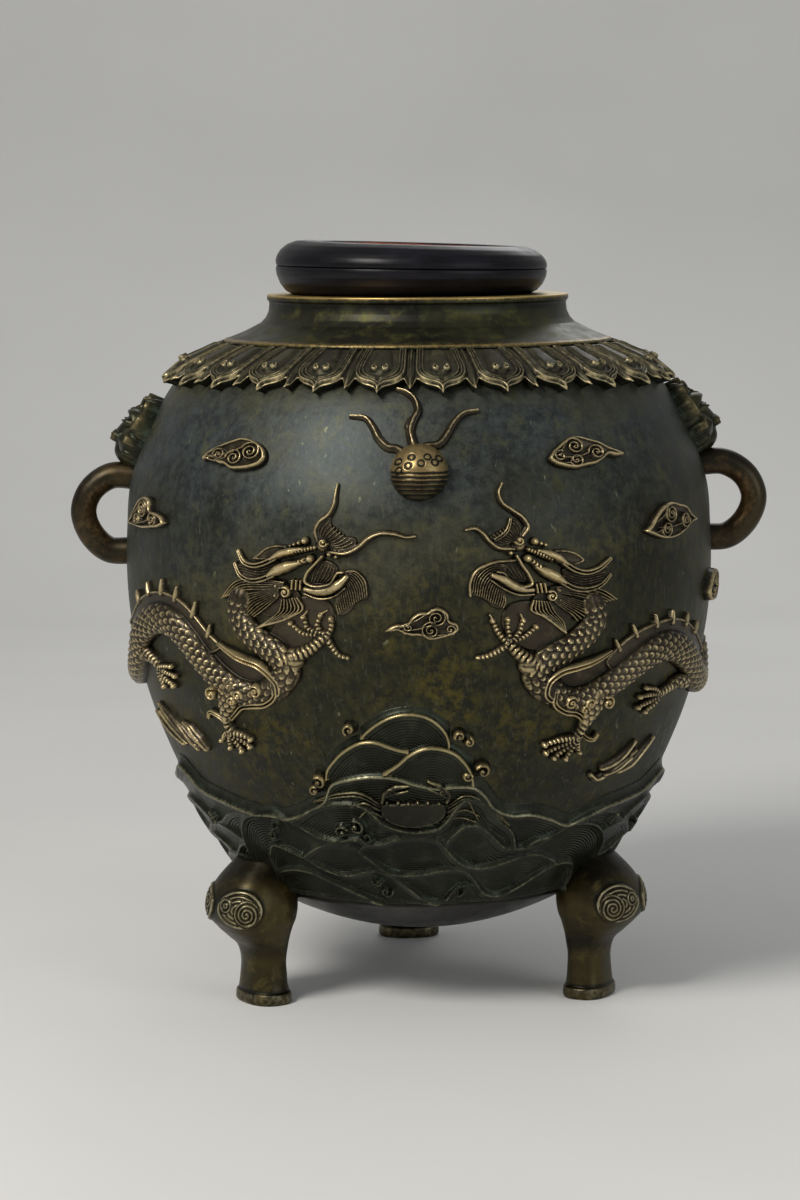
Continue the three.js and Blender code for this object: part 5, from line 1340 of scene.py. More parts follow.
# Dragons, as degrees off the front on their own side and heights; first the kinds of strokes that both share
SCALES = scaled(3.3, 1.7)
SMALL_SCALES = scaled(2.8, 1.4)
LEG_BANDS = banded(2.5)
CLAW_BANDS = banded(1.9)
web = partial(Area, edge=0.8)
ear = partial(Area, 1.8, rims=[(0.7, 1.3)], rim_high=0.8, edge=1.0, hollow=0.6)
fin = partial(Area, 1.9, rims=[(0.8, 1.3)], rim_high=0.8, edge=0.9)
spike = partial(Stroke, plain, [3.4, 2.6, 1.4], [3.6, 3.4, 2.6])
long_whisker = partial(Stroke, ridged, [3.8, 3.4, 3.2, 2.8, 2.6, 1.6], [3.4, 3.2, 3.0, 2.8, 2.4])
side_whisker = partial(Stroke, ridged, [3.8, 3.4, 3.2, 3.0, 2.6, 1.6], [3.4, 3.2, 3.0, 2.8, 2.4])
bridge = partial(Stroke, banded(1.5), [2.8, 3.2, 2.6], 5.0)
brow = partial(Stroke, plain, [2.2, 4.2, 4.4, 2.6], [4.4, 6.4, 6.4, 4.6])
upper_horn = partial(Stroke, twin, [3.2, 3.0, 2.6, 1.6], [4.6, 4.2, 3.8, 3.0])
lower_horn = partial(Stroke, twin, [3.2, 3.0, 2.6, 1.6], [4.8, 4.4, 3.8, 3.0])
mouth = partial(Stroke, plain, [1.6, 2.0, 1.8, 1.6], 4.6)
chin = partial(Stroke, plain, 1.4, 3.8)
top_hair = partial(fan, width=[1.1, 1.1, 1.1, 0.8], high=3.4)
middle_hair = partial(fan, width=[0.9, 1.0, 1.0, 0.8], high=3.2)
low_hair = partial(fan, width=[1.0, 1.1, 1.0, 0.8], high=3.6)
beard = partial(fan, width=[0.8, 0.95, 0.95, 0.7], high=2.5)
chest = partial(Stroke, SCALES, [12.5, 12.5, 13, 14, 14], [5.2, 5.6, 6, 6.2])
chest_flame = partial(Stroke, twin, [2, 3.2, 3.6, 3.4, 2.6], [3.4, 6.8, 7.4, 7.0, 4.4])
belly_flame = partial(Stroke, twin, [2.4, 3.2, 3.4, 3.2, 2.4], [6.4, 7.2, 6.6, 4.6, 3.4])
nail = partial(Stroke, plain, [1.8, 0.8], 3.4)
shin = partial(Stroke, LEG_BANDS, [6, 5, 4.8], [5.6, 5, 4.4])
side_shin = partial(Stroke, LEG_BANDS, [5.6, 5, 4.6], [4.8, 4.4, 4])
spur = partial(Stroke, twin, [2.6, 2.4, 1.8], 3.6)
fore_claw = partial(Stroke, CLAW_BANDS, [3.6, 3, 2.6])
hind_claw = partial(Stroke, CLAW_BANDS, [4.2, 3.4, 2.4], [4.6, 4.2, 3.4])
side_claw = partial(Stroke, CLAW_BANDS, [3.6, 3, 2.2], [4.2, 3.8, 3.2])
TAIL = [
    Stroke(SCALES, [13, 11.6, 9.4, 6.6], [6, 5.6, 4.8, 3.6], (93.4, 161.2), (100, 168.4), (106, 178.6),
           (113, 186.4), (121, 186), (128, 178.4), (134.6, 168.6), (142, 165)),
    *each(partial(Stroke, twin, [4.2, 3.8, 1.6], [3.6, 3.2, 2.4]),
          ((142, 165), (147, 171), (151, 179)), ((142.4, 165), (149.6, 168), (155, 173)),
          ((142.4, 164.4), (150, 163.4), (156, 165.4)), ((142, 164), (148, 158.6), (153, 157))),
]

LEFT_DRAGON = {
    "head": [
        # webs between the whiskers, behind the horns and in the mouth
        web(1.1, (18.8, 236), (18.5, 240), (17.4, 243.4), (16.4, 244.6), (16.3, 241.5), (15.6, 238.6),
            (14, 236.2), (11.6, 234.6), (11.6, 231.2), (13.4, 229), (16, 229), (17.4, 232)),
        *fan([(18.4, 235), (18.5, 239), (17.4, 243)],
            [(16.2, 230.4), (13.6, 230), (11.6, 232)], 11, 0.8, 2.0),
        web(1.4, (26.4, 224), (29, 221.8), (32, 220.6), (34.4, 223), (35.4, 219), (34, 215.6), (31, 214.2),
            (27, 216.4)),
        *fan([(26.6, 222.4), (30, 219.6), (34.6, 220.8)],
            [(26.6, 219), (30, 216), (34.4, 217.4)], 4, 0.9, 2.3),
        web(1.2, (18.2, 224.8), (19.6, 221), (20.6, 215.6), (19.4, 213.4), (16.4, 214), (15, 218.4),
            (15, 221.6)),
        *fan([(18.2, 223.6), (19.4, 219), (19.8, 215)], [(15.6, 221), (15.9, 217.6), (17, 215)], 6, 0.8, 2.1),
        # ear above the upper brow
        ear((24.4, 230.4), (26.6, 231.2), (29, 229.6), (30.6, 226.6), (31.9, 224.2), (28.6, 223.8),
            (26, 225.6)),
        # whiskers
        long_whisker((18.6, 233.6), (19.1, 238), (18.5, 241.6), (16.7, 245.4), (15.8, 249.6), (15.6, 254),
            (15.4, 258.5)),
        side_whisker((16.4, 228.6), (13.4, 228.2), (11.2, 231), (9.6, 234.6), (7.4, 237.2), (4.6, 237),
            (2.4, 235.6), (1.0, 236)),
        # snout, nostril and beaded bridge
        spot((17.6, 231.6), 3.4, 5.0), *spiral((17.3, 233), 2.7, 6.2, 1.4, 1.1, 200, 1),
        spot((16.4, 227.6), 1.5, 4.2), spot((15.2, 226.4), 1.1, 3.4),
        bridge((24.4, 226.8), (22, 228.8), (19, 230.6)),
        # eyes and the rolls behind them
        spot((21.0, 233.4), 1.9, 5.2), spot((22.1, 232.4), 1.3, 4.4), spot((23.0, 231.6), 1.2, 4.2),
        spot((23.8, 230.9), 1.0, 3.8),
        spot((19.9, 225.3), 2.1, 6.0),
        Stroke(CLAW_BANDS, [3.4, 3.4, 3.6], 5.2, (20.9, 224.6), (22.2, 223.4), (23.4, 222.4)),
        # brows and horns
        brow((21.4, 229.8), (23.4, 228.6), (25.8, 226.8), (27.6, 224.4)),
        upper_horn((26.8, 225), (29, 222.4), (31.4, 221.1), (33.3, 222.2), (34.9, 227.2)),
        Stroke(plain, [2.6, 5.6, 5.8, 3.2], [4.8, 7.0, 7.0, 5.0], (22, 223.2), (24, 221.8), (26.2, 219.6),
            (28, 217)),
        lower_horn((27.2, 217.4), (29.6, 215), (32, 214.3), (34.2, 216.4), (35.6, 221.4)),
        # mouth line and lower jaw
        mouth((17.6, 226.6), (19, 222.8), (20.5, 218.4), (20.8, 215), (19.7, 213.4), (17.4, 213.4),
            (15.9, 214.8), (15.3, 217.4), (14.7, 219.4), (13.8, 219.6)),
        Stroke(plain, [3.2, 4.8, 5.2, 5.4, 3.6], [4.2, 5.0, 5.4, 6.2, 4.6], (20.8, 211.6), (18.6, 210.8),
            (16.2, 211.8), (14.2, 215), (13.2, 217.6)),
        chin((21, 209.6), (18.4, 207.6), (15.6, 208.6), (13.4, 212.6)),
        *[Stroke(plain, 1.3, 4.4, (x, 215.4), (x + 0.15, 211.4)) for x in (21.6, 22.4, 23.2)],
        # ear spiral and jowl
        *spiral((24.6, 209.8), 3.3, 5.2, 1.6, 1.4, 60, 1), spot((26.6, 212.4), 1.6, 4),
        spot((26.8, 208), 1.5, 3.8),
        # mane and beard
        web(1.3, (26, 215), (31, 215.4), (35.6, 213.6), (38.2, 210.4), (38.9, 205.4), (37.4, 206),
            (35.6, 208.4), (34, 205), (31.6, 199.6), (28, 196.8), (30.8, 192.4), (27.4, 195.4), (23.4, 199),
            (21.5, 203), (21.8, 207.6)),
        *top_hair([(25, 214.2), (30, 214.8), (35, 213.4), (38.6, 205)],
            [(25.4, 211.6), (29.4, 210.6), (33.6, 209.6), (36.2, 207.2)], 5),
        *middle_hair([(26.2, 212), (30, 209.4), (33.6, 206.4), (34.6, 202.6)],
            [(26, 208), (27.6, 204.6), (29.6, 200.8), (31.4, 197.8)], 9),
        *low_hair([(25.4, 206.4), (25.8, 202), (28.4, 196.4), (31.4, 192)],
            [(22.4, 207.6), (21.4, 203), (24, 198.4), (29.6, 193.6)], 7),
        web(1.1, (15.2, 218.6), (12.4, 220.8), (10.2, 218), (9.4, 213.4), (9.4, 208.6), (11.4, 206),
            (13, 201.4), (14.8, 199.8), (15.6, 204), (15, 210), (14, 214)),
        *beard([(14.6, 219.4), (11.6, 220), (10, 216), (9.6, 209.6)],
            [(14.6, 213.6), (15, 209), (15.2, 205), (14.8, 200.8)], 15),
    ],
    "body": [
        web(1.0, (38, 181), (33, 178.4), (29.4, 173), (30, 167), (34, 164), (39, 166), (43.6, 174),
            (42, 180)),
        Area(0.9, (22, 208), (16.6, 206), (15.4, 200), (17, 191), (23, 183), (29, 188), (28, 194), edge=1.2),
        # fin with its spikes along the back
        fin((39.6, 182), (42.6, 188.4), (45.4, 194.6), (48.4, 200), (52, 203.4), (57, 204.6), (62, 202.6),
            (67, 197.6), (72, 190), (76, 184), (72, 182), (64, 190), (56, 194), (49, 188), (43, 178)),
        *each(spike, ((42.8, 186.6), (42.2, 191.6)), ((46.6, 195), (45.8, 201.4)),
            ((51.6, 201.4), (51.2, 207.4)), ((56.2, 203.4), (56.3, 209.8)), ((61.4, 201.8), (62.3, 207)),
            ((66.6, 197), (68, 201.6))),
        # neck, chest and back
        chest((34.6, 205.4), (34.9, 198.6), (33.4, 191.6), (30.2, 185.6), (26.6, 179.6), (25.4, 174),
            (27.4, 167.4)),
        Stroke(SCALES, [13, 14, 15.4, 15.8, 14.6, 13], [6, 6.4, 6.6, 6.6, 6.2], (27.6, 166), (31.6, 161),
            (36.4, 161.4), (41, 167), (45, 175), (48.8, 184), (53, 190.2), (58, 191.4), (63, 187.6),
            (68, 180.6), (72, 171.6), (78, 162.4), (86, 157.4), (94, 161)),
        # flames over the chest and under the belly
        chest_flame((40.2, 183.4), (37, 180.4), (33.6, 177.8), (30.6, 176), (28.4, 172), (27, 167.6),
            (27.2, 163.6), (29.4, 162.4), (31, 165.4)),
        belly_flame((28, 168.6), (27.8, 162.4), (30, 158), (33.6, 156.4), (36.4, 154.6), (38.4, 151),
            (40, 148)),
        *spiral((31.6, 164), 3.8, 8.0, 1.6, 1.5, 30, 1),
        *spiral((35.8, 161.4), 3.2, 7.8, 1.5, 1.3, 200, -1),
    ],
    "foreleg": [
        spot((23.6, 179.6), 5.2, 6.4, SMALL_SCALES),
        Stroke(LEG_BANDS, [9, 7.4, 6.4, 5.8], [6.6, 6.2, 5.6, 5.0], (26, 178.4), (22.6, 181.4), (19.4, 186),
            (17.4, 190.6)),
        Stroke(CLAW_BANDS, [3.8, 3.2, 2.8], [4.6, 4.2, 3.6], (17.2, 190), (16.2, 194.6), (16.2, 198.2)),
        fore_claw([4.4, 4, 3.6], (18, 191.6), (18.8, 195.6), (18.2, 199.4)),
        fore_claw([4.4, 4, 3.4], (18.6, 192), (20.8, 194.4), (21.2, 198.2)),
        Stroke(CLAW_BANDS, [3.4, 2.8, 2.4], [4.4, 4, 3.2], (18.8, 191), (21.8, 191.6), (23.6, 194.8)),
        Stroke(CLAW_BANDS, [3.4, 2.8, 2], [4.4, 3.8, 3.0], (16.8, 188.4), (15.9, 184.6), (14.8, 181.6),
            (13.4, 180.6)),
        *spots(1.5, 4.6, (16.2, 198.6), (18.1, 200), (21.4, 198.8), (23.9, 195.6)),
        nail((18.1, 200.4), (16.8, 202.4)),
        nail((21.4, 199.2), (20.6, 201.6)),
    ],
    "hindleg": [
        Stroke(SMALL_SCALES, [14, 13, 9, 6], [6.8, 7, 6.4, 5.2], (38.6, 163), (39.6, 157.4), (40.6, 152),
            (41, 148.4)),
        shin((40.8, 150), (41.4, 145.4), (41, 140.6)),
        *spiral((42.6, 160.4), 4.0, 7.4, 1.7, 1.4, 120, -1),
        *spiral((37.6, 158), 3.0, 7.4, 1.5, 1.2, 0, 1),
        spur((41.8, 146), (43.8, 148.8), (46, 149.6), (46.6, 147)),
        *each(partial(hind_claw, (41, 140.8)), ((38.6, 140.6), (36.6, 138.8)), ((39, 138.4), (37.2, 135.2)),
            ((40.4, 137), (39.6, 132.6)), ((42, 137.6), (42.4, 133.6)), ((43, 139.4), (44.2, 136.8))),
        *spots(1.5, 4.4, (36.3, 138.6), (36.9, 134.9), (39.5, 132.2), (42.5, 133.2), (44.5, 136.4)),
    ],
    "sideleg": [
        Stroke(SMALL_SCALES, [9, 8, 6], [5.4, 5, 4.4], (70.4, 172.6), (67, 172.4), (64.4, 170.4)),
        side_shin((66, 173), (62.6, 169.4), (60.6, 165.6)),
        *each(partial(side_claw, (61, 167)), ((59, 168), (56.4, 168.6)), ((58.6, 165.4), (55.6, 164.4)),
            ((59.6, 162.4), (57, 159.4)), ((61.6, 162), (61, 158))),
        *spots(1.4, 4.0, (56, 168.7), (55.2, 164.2), (56.7, 159), (61, 157.6)),
    ],
    "wisp": [
        Stroke(ridged, [1.4, 3.4, 5.2, 6, 4.6], [2.6, 3.4, 3.8, 3.8, 3.2], (68, 147), (64.6, 143.6),
            (61.4, 138.4), (58, 133.6), (55.6, 130.8)),
        Stroke(ridged, [1.4, 3, 4.8, 5.2, 4], [2.6, 3.2, 3.8, 3.8, 3.2], (57.6, 141), (55.4, 139.4),
            (54.2, 136.2), (52.6, 132.8), (51.6, 130)),
        Stroke(ridged, [1.2, 2.8, 4, 3.4], [2.6, 3.2, 3.4, 3], (61.6, 141.6), (59.4, 138.4), (57.4, 134),
            (54.8, 129)),
        Stroke(plain, [1.2, 1.6, 1.2], 4.6, (66.4, 144.4), (61.6, 138), (57.2, 131.6)),
        Stroke(ridged, [1.6, 3.4, 4.4, 3.4], [2.6, 3.2, 3.4, 3], (72, 142), (68.4, 137.4), (65, 133.6),
            (61, 129.6)),
    ],
    "tail": TAIL,
}
RIGHT_DRAGON = {
    "head": [
        web(1.1, (18.6, 236.4), (18.3, 240.4), (17, 243), (16.4, 240), (15.6, 237), (13, 236), (11.4, 234.2),
            (13.4, 230.4), (16, 229.8), (17.6, 232)),
        *fan([(18.2, 235.8), (18.2, 239), (17.4, 242)],
            [(16, 231.4), (13.8, 232.2), (12, 234.4)], 10, 0.8, 2.0),
        web(1.4, (26.4, 219.6), (30, 217.2), (33.6, 218.4), (36.4, 219), (36.6, 214.4), (34.4, 211),
            (30.6, 210), (27, 212.6)),
        *fan([(26.8, 218), (30.4, 215.4), (35.6, 216.6)], [(26.6, 215), (30, 212), (34.8, 213)], 4, 0.9, 2.3),
        web(1.2, (17.4, 225.6), (18.4, 221), (19.6, 214.4), (17.2, 214.4), (15.4, 217.6), (14.6, 221.6)),
        *fan([(17.4, 224), (18.4, 219.6), (19, 215.6)], [(15, 221), (15.8, 218), (17, 216)], 5, 0.8, 2.1),
        ear((24.6, 228), (27, 228.2), (29.6, 226), (31, 222.8), (29, 220.6), (26.4, 222.4)),
        long_whisker((18.6, 235.6), (19.6, 239.4), (18.8, 243), (16.8, 246.8), (14.9, 250.4), (14.4, 254.6),
            (15.2, 258.6)),
        side_whisker((16.6, 229.6), (14, 230.4), (12.4, 233.4), (11.2, 237), (9.8, 239.2), (8.2, 238.6)),
        Stroke(twin, [2, 2.2, 1.4], 2.4, (13.6, 234), (15.6, 237.6), (16.4, 243)),
        spot((17.8, 231.4), 3.3, 5.0), *spiral((17.6, 233.4), 2.7, 6.2, 1.4, 1.1, 200, 1),
        spot((16.2, 227.8), 1.4, 4.2),
        bridge((24, 224), (21.6, 226.8), (19.2, 229.4)),
        spot((20.8, 232.6), 1.9, 5.2), spot((21.9, 231.6), 1.3, 4.4), spot((22.8, 230.8), 1.2, 4.2),
        spot((19.3, 225), 2.1, 6.0),
        Stroke(CLAW_BANDS, [3.2, 3.4, 3.4], 5.2, (20, 224), (21, 222), (21.9, 220.6)),
        brow((21.4, 228.4), (23.2, 226.8), (25.2, 224.6), (27, 221.6)),
        upper_horn((26.4, 222.2), (28.4, 219), (31, 217.2), (33.8, 218.4), (36.8, 222.6)),
        Stroke(plain, [2.6, 5.4, 5.6, 3.2], [4.8, 7.0, 7.0, 5.0], (20.9, 221), (22.6, 218.8), (24.6, 216.2),
            (26.4, 213.4)),
        lower_horn((25.8, 213.8), (28.2, 210.6), (31.2, 209.5), (34.2, 211), (36.6, 215.2)),
        mouth((17.2, 226.4), (18.2, 222), (19.4, 217.6), (20, 213.6), (18.6, 212.4), (16.6, 213.8),
            (15.6, 216.2), (14.8, 218.8), (13.6, 219.6)),
        Stroke(plain, [3.2, 4.6, 5, 5, 3.4], [4.2, 5.0, 5.4, 6.2, 4.6], (20.2, 210.8), (18, 211.6), (16, 214),
            (14.4, 216.6), (12.8, 218)),
        chin((20.4, 208.8), (17.4, 209), (14.4, 212.4), (12.6, 215.6)),
        *[Stroke(plain, 1.3, 4.4, (x, 213.4), (x + 0.3, 209.6)) for x in (20.8, 21.6, 22.4)],
        *spiral((23.7, 207.6), 3.3, 5.2, 1.6, 1.4, 120, -1), spot((25.4, 210), 1.6, 4),
        spot((25.6, 205.6), 1.5, 3.8),
        web(1.3, (24.4, 212), (30, 211.6), (34.6, 209.4), (36.4, 206.8), (38.4, 203.6), (35.6, 203),
            (32.6, 202), (29.4, 198.6), (27.6, 194), (26.6, 190), (24.4, 195.6), (21.4, 199), (19.9, 203),
            (20.4, 207)),
        *top_hair([(25, 211.6), (30, 210.8), (34.6, 208.6), (38, 203.8)],
            [(25, 209), (29, 207), (32.6, 204.4), (35, 203)], 5),
        *middle_hair([(25, 208.4), (28.4, 205.6), (31.6, 203.2), (34.4, 201.6)],
            [(24.4, 205), (26.4, 201.4), (28.4, 198), (29.4, 195.4)], 8),
        *low_hair([(23.4, 205), (24.6, 200), (26.4, 195), (27, 190)],
            [(20.4, 206), (20, 202), (22.4, 198.4), (25.8, 192)], 7),
        web(1.1, (15.4, 219.4), (17.2, 224.2), (12.6, 223.4), (10, 220.4), (8.9, 215.6), (9, 209.6),
            (11.6, 206.6), (13, 203.4), (15, 202.8), (15.4, 208), (13.4, 214)),
        *beard([(15.6, 222.4), (12, 222.4), (9.8, 218), (9.2, 210.4)],
            [(14.8, 214), (15, 209.6), (15.2, 206), (14.8, 203.2)], 15),
        Stroke(plain, 1.7, 2.8, (17.2, 224.4), (12.4, 223.2), (9.7, 219.6), (8.8, 214.6), (8.8, 209)),
    ],
    "body": [
        web(1.0, (37, 177), (31, 175.4), (27, 171), (27.6, 164.6), (33, 163.4), (38.6, 168), (42, 174)),
        Area(0.9, (20, 206), (15.6, 203.4), (14.6, 196), (16.8, 187), (22, 182), (28, 188), (26, 194),
            edge=1.2),
        fin((36.6, 174.6), (40, 183), (44, 187.6), (49.6, 190.6), (55, 191.2), (60.4, 188.6), (65, 183.4),
            (69.6, 177), (74, 170), (70, 168), (62, 176), (54, 180.4), (46, 178), (39, 169)),
        *each(spike, ((39.6, 180), (38.6, 184.6)), ((43.8, 185.4), (42.9, 190.4)),
            ((49.4, 188.6), (49.2, 193.8)), ((54.6, 189), (55, 194.2)), ((60, 186.6), (61.2, 191.2)),
            ((65, 181.6), (66.8, 185.6))),
        chest((32.8, 202.6), (33.4, 195.6), (31.4, 188.6), (27.6, 182.6), (23.6, 177.4), (21.6, 171.6),
            (23.4, 165.6)),
        Stroke(SCALES, [13, 14, 15.4, 15.4, 14.4, 13], [6, 6.4, 6.6, 6.6, 6.2], (24.6, 164), (28.4, 158.6),
            (33, 158.8), (37.6, 163.4), (42.4, 169.2), (47, 174.8), (52, 178.2), (57, 176.8), (62, 172),
            (67, 165.4), (72, 158.6), (79, 154.2), (87, 154), (94, 161)),
        chest_flame((37.6, 179.4), (33.6, 176.6), (29.4, 174.6), (25.6, 172.6), (23.6, 168), (23.6, 162.6),
            (25.4, 159.6), (27.6, 160.4), (28.4, 163.4)),
        belly_flame((25.4, 164), (25.4, 158.6), (27.6, 154.4), (30.6, 152.4), (32.6, 149), (33.6, 144.6),
            (33.4, 142)),
        *spiral((28.6, 158.6), 3.8, 8.0, 1.6, 1.5, 30, 1),
        *spiral((33, 157.4), 3.2, 7.8, 1.5, 1.3, 200, -1),
    ],
    "foreleg": [
        spot((20, 176.6), 5.2, 6.4, SMALL_SCALES),
        Stroke(LEG_BANDS, [9, 7.4, 6.2, 5.6], [6.6, 6.2, 5.6, 5.0], (22.4, 175.4), (19.6, 179), (17.4, 183.2),
            (15.9, 187.4)),
        Stroke(CLAW_BANDS, [3.8, 3.2, 2.8], [4.6, 4.2, 3.6], (15.6, 187), (14.4, 190.4), (13.6, 193.4),
            (13, 197)),
        fore_claw([4.4, 4, 3.6], (16.2, 188), (15.8, 192.6), (15.6, 197)),
        fore_claw([4.4, 4, 3.4], (16.6, 188.4), (17.9, 192), (18.4, 196.4)),
        Stroke(CLAW_BANDS, [3.4, 2.8, 2.4], [4.4, 4, 3.2], (16.8, 188), (19, 190), (20.8, 193)),
        Stroke(CLAW_BANDS, [3.6, 3, 2.2], [4.4, 3.8, 3.0], (15.6, 186), (13.8, 183.2), (12.2, 181.4),
            (10.2, 180.6)),
        *spots(1.5, 4.6, (12.8, 197.4), (15.6, 197.8), (18.5, 197), (21, 193.8)),
        nail((12.9, 197.6), (12.3, 200.4)),
        nail((18.5, 197.4), (18, 200)),
    ],
    "hindleg": [
        Stroke(SMALL_SCALES, [13, 12, 9, 6], [6.8, 7, 6.4, 5.2], (35, 159.4), (34.6, 154.6), (34, 150),
            (33.6, 146.4)),
        shin((33.6, 148), (33.2, 143.4), (32.6, 139.4)),
        *spiral((37.4, 156.6), 4.0, 7.4, 1.7, 1.4, 120, -1),
        *spiral((32, 154.6), 3.0, 7.4, 1.5, 1.2, 0, 1),
        spur((33.6, 141), (35.2, 138.6), (37, 138), (37.6, 140)),
        *each(partial(hind_claw, (32.6, 139.6)), ((29, 139.4), (25.6, 137.6)), ((29.4, 137), (26.2, 133.8)),
            ((30.4, 135.4), (28.2, 131)), ((31.8, 134.6), (31, 130)), ((33, 136.4), (33.8, 132.6))),
        *spots(1.5, 4.4, (25.3, 137.4), (25.9, 133.4), (28, 130.6), (30.9, 129.6), (34, 132.2)),
    ],
    "sideleg": [
        Stroke(SMALL_SCALES, [8, 7, 6], [5.4, 5, 4.4], (65, 157.4), (61.6, 159), (59, 158)),
        side_shin((60.6, 158.6), (57, 156.4), (53.8, 154.4)),
        *each(partial(side_claw, (54.4, 155)), ((52.6, 157.6), (49.6, 159)), ((51.6, 155.4), (48.2, 155.2)),
            ((51.8, 152.6), (48.4, 150.4)), ((53.6, 151.4), (51, 147.6))),
        *spots(1.4, 4.0, (49.2, 159.2), (47.8, 155.2), (48, 150), (50.7, 147.2)),
    ],
    "wisp": [
        Stroke(ridged, [3.4, 5, 4.6, 2.6, 1.4], [3.2, 3.8, 3.6, 3.2, 2.6], (39.6, 119), (41.4, 116.8),
            (44.6, 119.4), (47.4, 122.6), (52.6, 127.6)),
        Stroke(ridged, [3.4, 4.6, 3.2, 1.4], [3.2, 3.8, 3.4, 2.6], (42.4, 121.6), (44.4, 122.6), (48, 126.4),
            (51, 132.6)),
        Stroke(ridged, [3.2, 4.4, 3.6, 1.2], [3.2, 3.6, 3.2, 2.6], (48.6, 118.4), (52, 120.6), (55.4, 126.6),
            (58.4, 132.4)),
        Stroke(plain, [1.2, 1.6, 1.2], 4.4, (43, 119), (46.6, 120.6), (50.4, 125.4)),
    ],
    "tail": TAIL,
}
for name, side, parts in (("left", -1, LEFT_DRAGON), ("right", 1, RIGHT_DRAGON)):
    for part in ("head", "body", "tail", "foreleg", "hindleg", "sideleg", "wisp"):
        sheet = WallSheet(parts[part], 0.27, side=side)
        piece = sheet.object(f"relief_{name}_{part}", lift=0.2, tall=0.4, fine=0.22)
        finish(piece, "relief", "relief_bronze", f"dragon_{name}_{part}")


# Masks: a beast's face that bites the root of the handle
MASK_MARGIN = 3
MASK_OUTLINE = [(-11, 0.02), (-15, 0.2), (-18, 0.45), (-19, 0.72), (-15, 0.94), (0, 1.06), (15, 0.94),
                (19, 0.72), (18, 0.45), (15, 0.2), (11, 0.02), (0, -0.04)]


def mask(node, side):
    """The face from its jaw up: muzzle, nostrils, cheeks, eyes under heavy brows, ears and curls."""
    low = corner(node, LOW, Z) + MASK_MARGIN
    top = corner(node, HIGH, Z) - MASK_MARGIN

    def at(across, share):
        """A place in degrees and height, from millimetres off the middle and a share of the mask's height."""
        height = mix(low, top, share)
        return (90 + math.degrees(across / radius_at(height)), height)

    strokes = [
        Area(5.6, *[at(*place) for place in MASK_OUTLINE], edge=8),
        Stroke(plain, [16, 20, 18, 12], [12.5, 14.8, 12.4, 7],
               *[at(0, share) for share in (0.04, 0.24, 0.5, 0.84)]),
    ]
    for half in (-1, 1):
        strokes += [
            *spiral(at(half * 4.6, 0.22), 3.8, 16, 2.1, 1.1, 90 + 90 * half, half),
            Stroke(plain, [9, 10.4, 8], [10.6, 12.4, 9.6], at(half * 7, 0.1), at(half * 11, 0.24),
                   at(half * 13, 0.42)),
            Stroke(plain, [5, 6.8, 6, 3.4], [11.4, 13.2, 12.2, 9], at(half * 2.4, 0.6), at(half * 7, 0.71),
                   at(half * 12.4, 0.69), at(half * 16, 0.54)),
            spot(at(half * 7.8, 0.51), 3.8, 13.4), spot(at(half * 7.8, 0.51), 1.6, 14.4),
            Stroke(twin, [4.4, 6, 5, 3.2], [8.6, 10, 9, 7], at(half * 13, 0.4), at(half * 17.4, 0.5),
                   at(half * 18.8, 0.66), at(half * 16.4, 0.82)),
            *spiral(at(half * 5.2, 0.87), 4.6, 9, 2.3, 1.1, 90, half),
            *spiral(at(half * 13, 0.88), 4.4, 7.6, 2.3, 1.1, 60, -half),
            *spiral(at(half * 14.6, 0.24), 4.4, 10, 2.3, 1.1, 200, half),
            spot(at(half * 17.8, 0.42), 3, 7.8), spot(at(half * 9.4, 1.0), 3.2, 5.6),
            spot(at(half * 10.6, 0.02), 3, 8.4),
        ]
    strokes += [spot(at(0, 0.8), 3.4, 10.6), *spiral(at(0, 0.98), 4, 7.4, 2, 1.2, 90, 1)]
    sheet = WallSheet(strokes, 0.36, side=side)
    piece = sheet.object(node.replace("mask", "beast_mask"), fine=0.9)
    return finish(piece, "mask", "relief_bronze", node)


mask("mask_left", -1)
mask("mask_right", 1)


# Belly: the cast wall with its thick lower ring
BELLY_COLUMNS = 300


def belly():
    """The whole wall, inside and out, with the halo of its relief on it."""
    count = math.ceil(wall_arc[-1] / (1.8))
    outer_arc = np.linspace(0, wall_arc[-1], count)
    outer, normal = [np.stack(along_wall(pairs, outer_arc), 1) for pairs in (wall, wall_normal)]
    inner_rows = (outer_arc > arc_at(FOOT_HEIGHT + RING_HEIGHT + 4)) & (np.arange(count) % 3 == 0)
    inner = (outer - WALL_THICKNESS * normal)[inner_rows][::-1]
    ring = [(RING_BORE + 20, FOOT_HEIGHT + RING_HEIGHT), (RING_BORE, FOOT_HEIGHT + RING_HEIGHT),
            (RING_BORE, FOOT_HEIGHT)]
    outline = np.concatenate([outer, inner, ring])
    angle = np.arange(BELLY_COLUMNS) * TURN / BELLY_COLUMNS
    rows = np.clip((outer_arc / HALO_STEP).astype(int), 0, halo_size[0] - 1)
    places = np.floor(angle / TURN * halo_size[1]).astype(int) % halo_size[1]
    near, inner_shade = np.zeros((2, len(outline), BELLY_COLUMNS))
    near[:count] = blurred(halo, 3, True)[rows][:, places]
    # painted shade: the inner rows and the bottom ring are marked to be darkened
    inner_shade[count:] = 1
    points = round_axis(outline[:, :1], angle, outline[:, 1:]).reshape(-1, 3)
    faces = grid_faces(len(outline), BELLY_COLUMNS, True, True)
    piece = add_mesh("belly_wall", points, faces, {"halo": near, "recess": inner_shade})
    return finish(piece, "wall", "dark_bronze", "body_shell")


belly()

# Camera, lamps and floor, in metres
CAMERA_PLACE = (-0.0094, -1.6, 0.385)
CAMERA_DIP, CAMERA_ROLL = 6.96, -0.3
FLOOR_HALF, FLOOR_FRONT, FLOOR_BACK = 4, -3.0, 1.4
SWEEP_RADIUS, BACKDROP_TOP = 0.8, 3.6


def place_item(name, data):
    item = bpy.data.objects.new(name, data)
    bpy.context.scene.collection.objects.link(item)
    return item


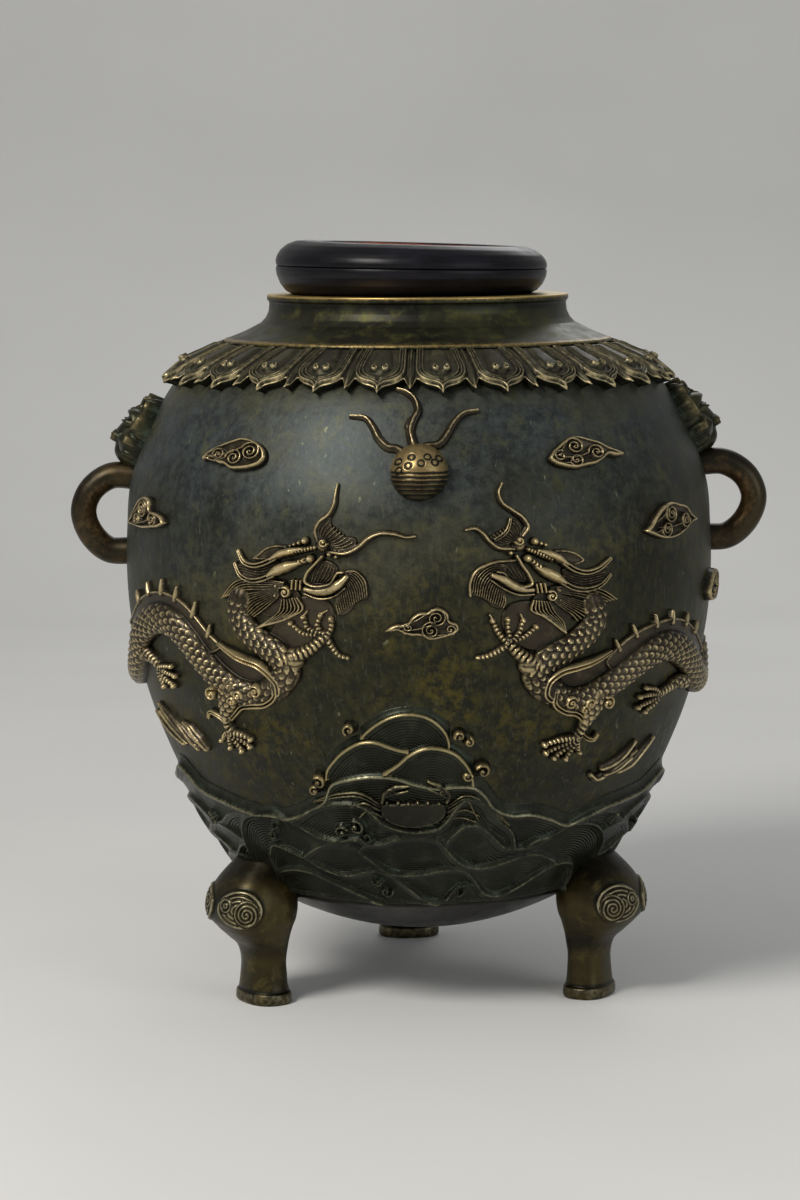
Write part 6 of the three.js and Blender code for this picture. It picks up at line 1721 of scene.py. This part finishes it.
camera_data = bpy.data.cameras.new("camera")
camera_data.lens = 97.5
camera_data.sensor_width = 36
camera_data.sensor_fit = "AUTO"
camera = place_item("camera", camera_data)
camera.matrix_world = (
    Matrix.Translation(CAMERA_PLACE)
    @ Matrix.Rotation(math.radians(90 - CAMERA_DIP), 4, "X")
    @ Matrix.Rotation(math.radians(CAMERA_ROLL), 4, "Z"))
bpy.context.scene.camera = camera


def lamp(name, place, target, size, power, colour=(1, 1, 1)):
    """A round soft lamp that faces its target."""
    data = bpy.data.lights.new(name, "AREA")
    data.shape, data.size, data.energy, data.color = "DISK", size, power, colour
    item = place_item(name, data)
    item.location = place
    item.rotation_euler = (Vector(target) - item.location).to_track_quat("-Z", "Y").to_euler()


lamp("key", (-0.9, -1.1, 1.35), (0, 0, 0.2), 0.7, 22, (1.0, 0.97, 0.92))
lamp("fill", (1.5, -1.3, 0.7), (0, 0, 0.18), 1.2, 6, (0.9, 0.95, 1.0))
lamp("back", (0.3, 1.6, 1.2), (0, 0, 0.25), 1.0, 4)

sweep = [(FLOOR_BACK + SWEEP_RADIUS * math.sin(bend), SWEEP_RADIUS - SWEEP_RADIUS * math.cos(bend))
         for bend in np.linspace(0.1, math.pi / 2, 12)]
sweep = [(FLOOR_FRONT, 0), (FLOOR_BACK, 0), *sweep, (FLOOR_BACK + SWEEP_RADIUS, BACKDROP_TOP)]
floor_points = [(x / MM, y / MM, z / MM) for y, z in sweep for x in (-FLOOR_HALF, FLOOR_HALF)]
floor = add_mesh("studio_floor", floor_points, grid_faces(len(sweep), 2))
stage = Paint("pale_floor")
cloudy = stage.steps(stage.noise(300, 2), 0.3, 0.7)
stage.link(stage.blend(cloudy, rgb(0xe6e5e2), rgb(0xeae9e6)), "Base Color")
stage.shader.inputs["Roughness"].default_value = 0.85
floor.data.materials.append(stage.material)

world = bpy.data.worlds.new("studio")
world.use_nodes = True
background = world.node_tree.nodes["Background"]
background.inputs["Color"].default_value = (0.86, 0.88, 0.9, 1)
background.inputs["Strength"].default_value = 0.32
bpy.context.scene.world = world
bpy.context.scene.view_settings.view_transform = "Standard"
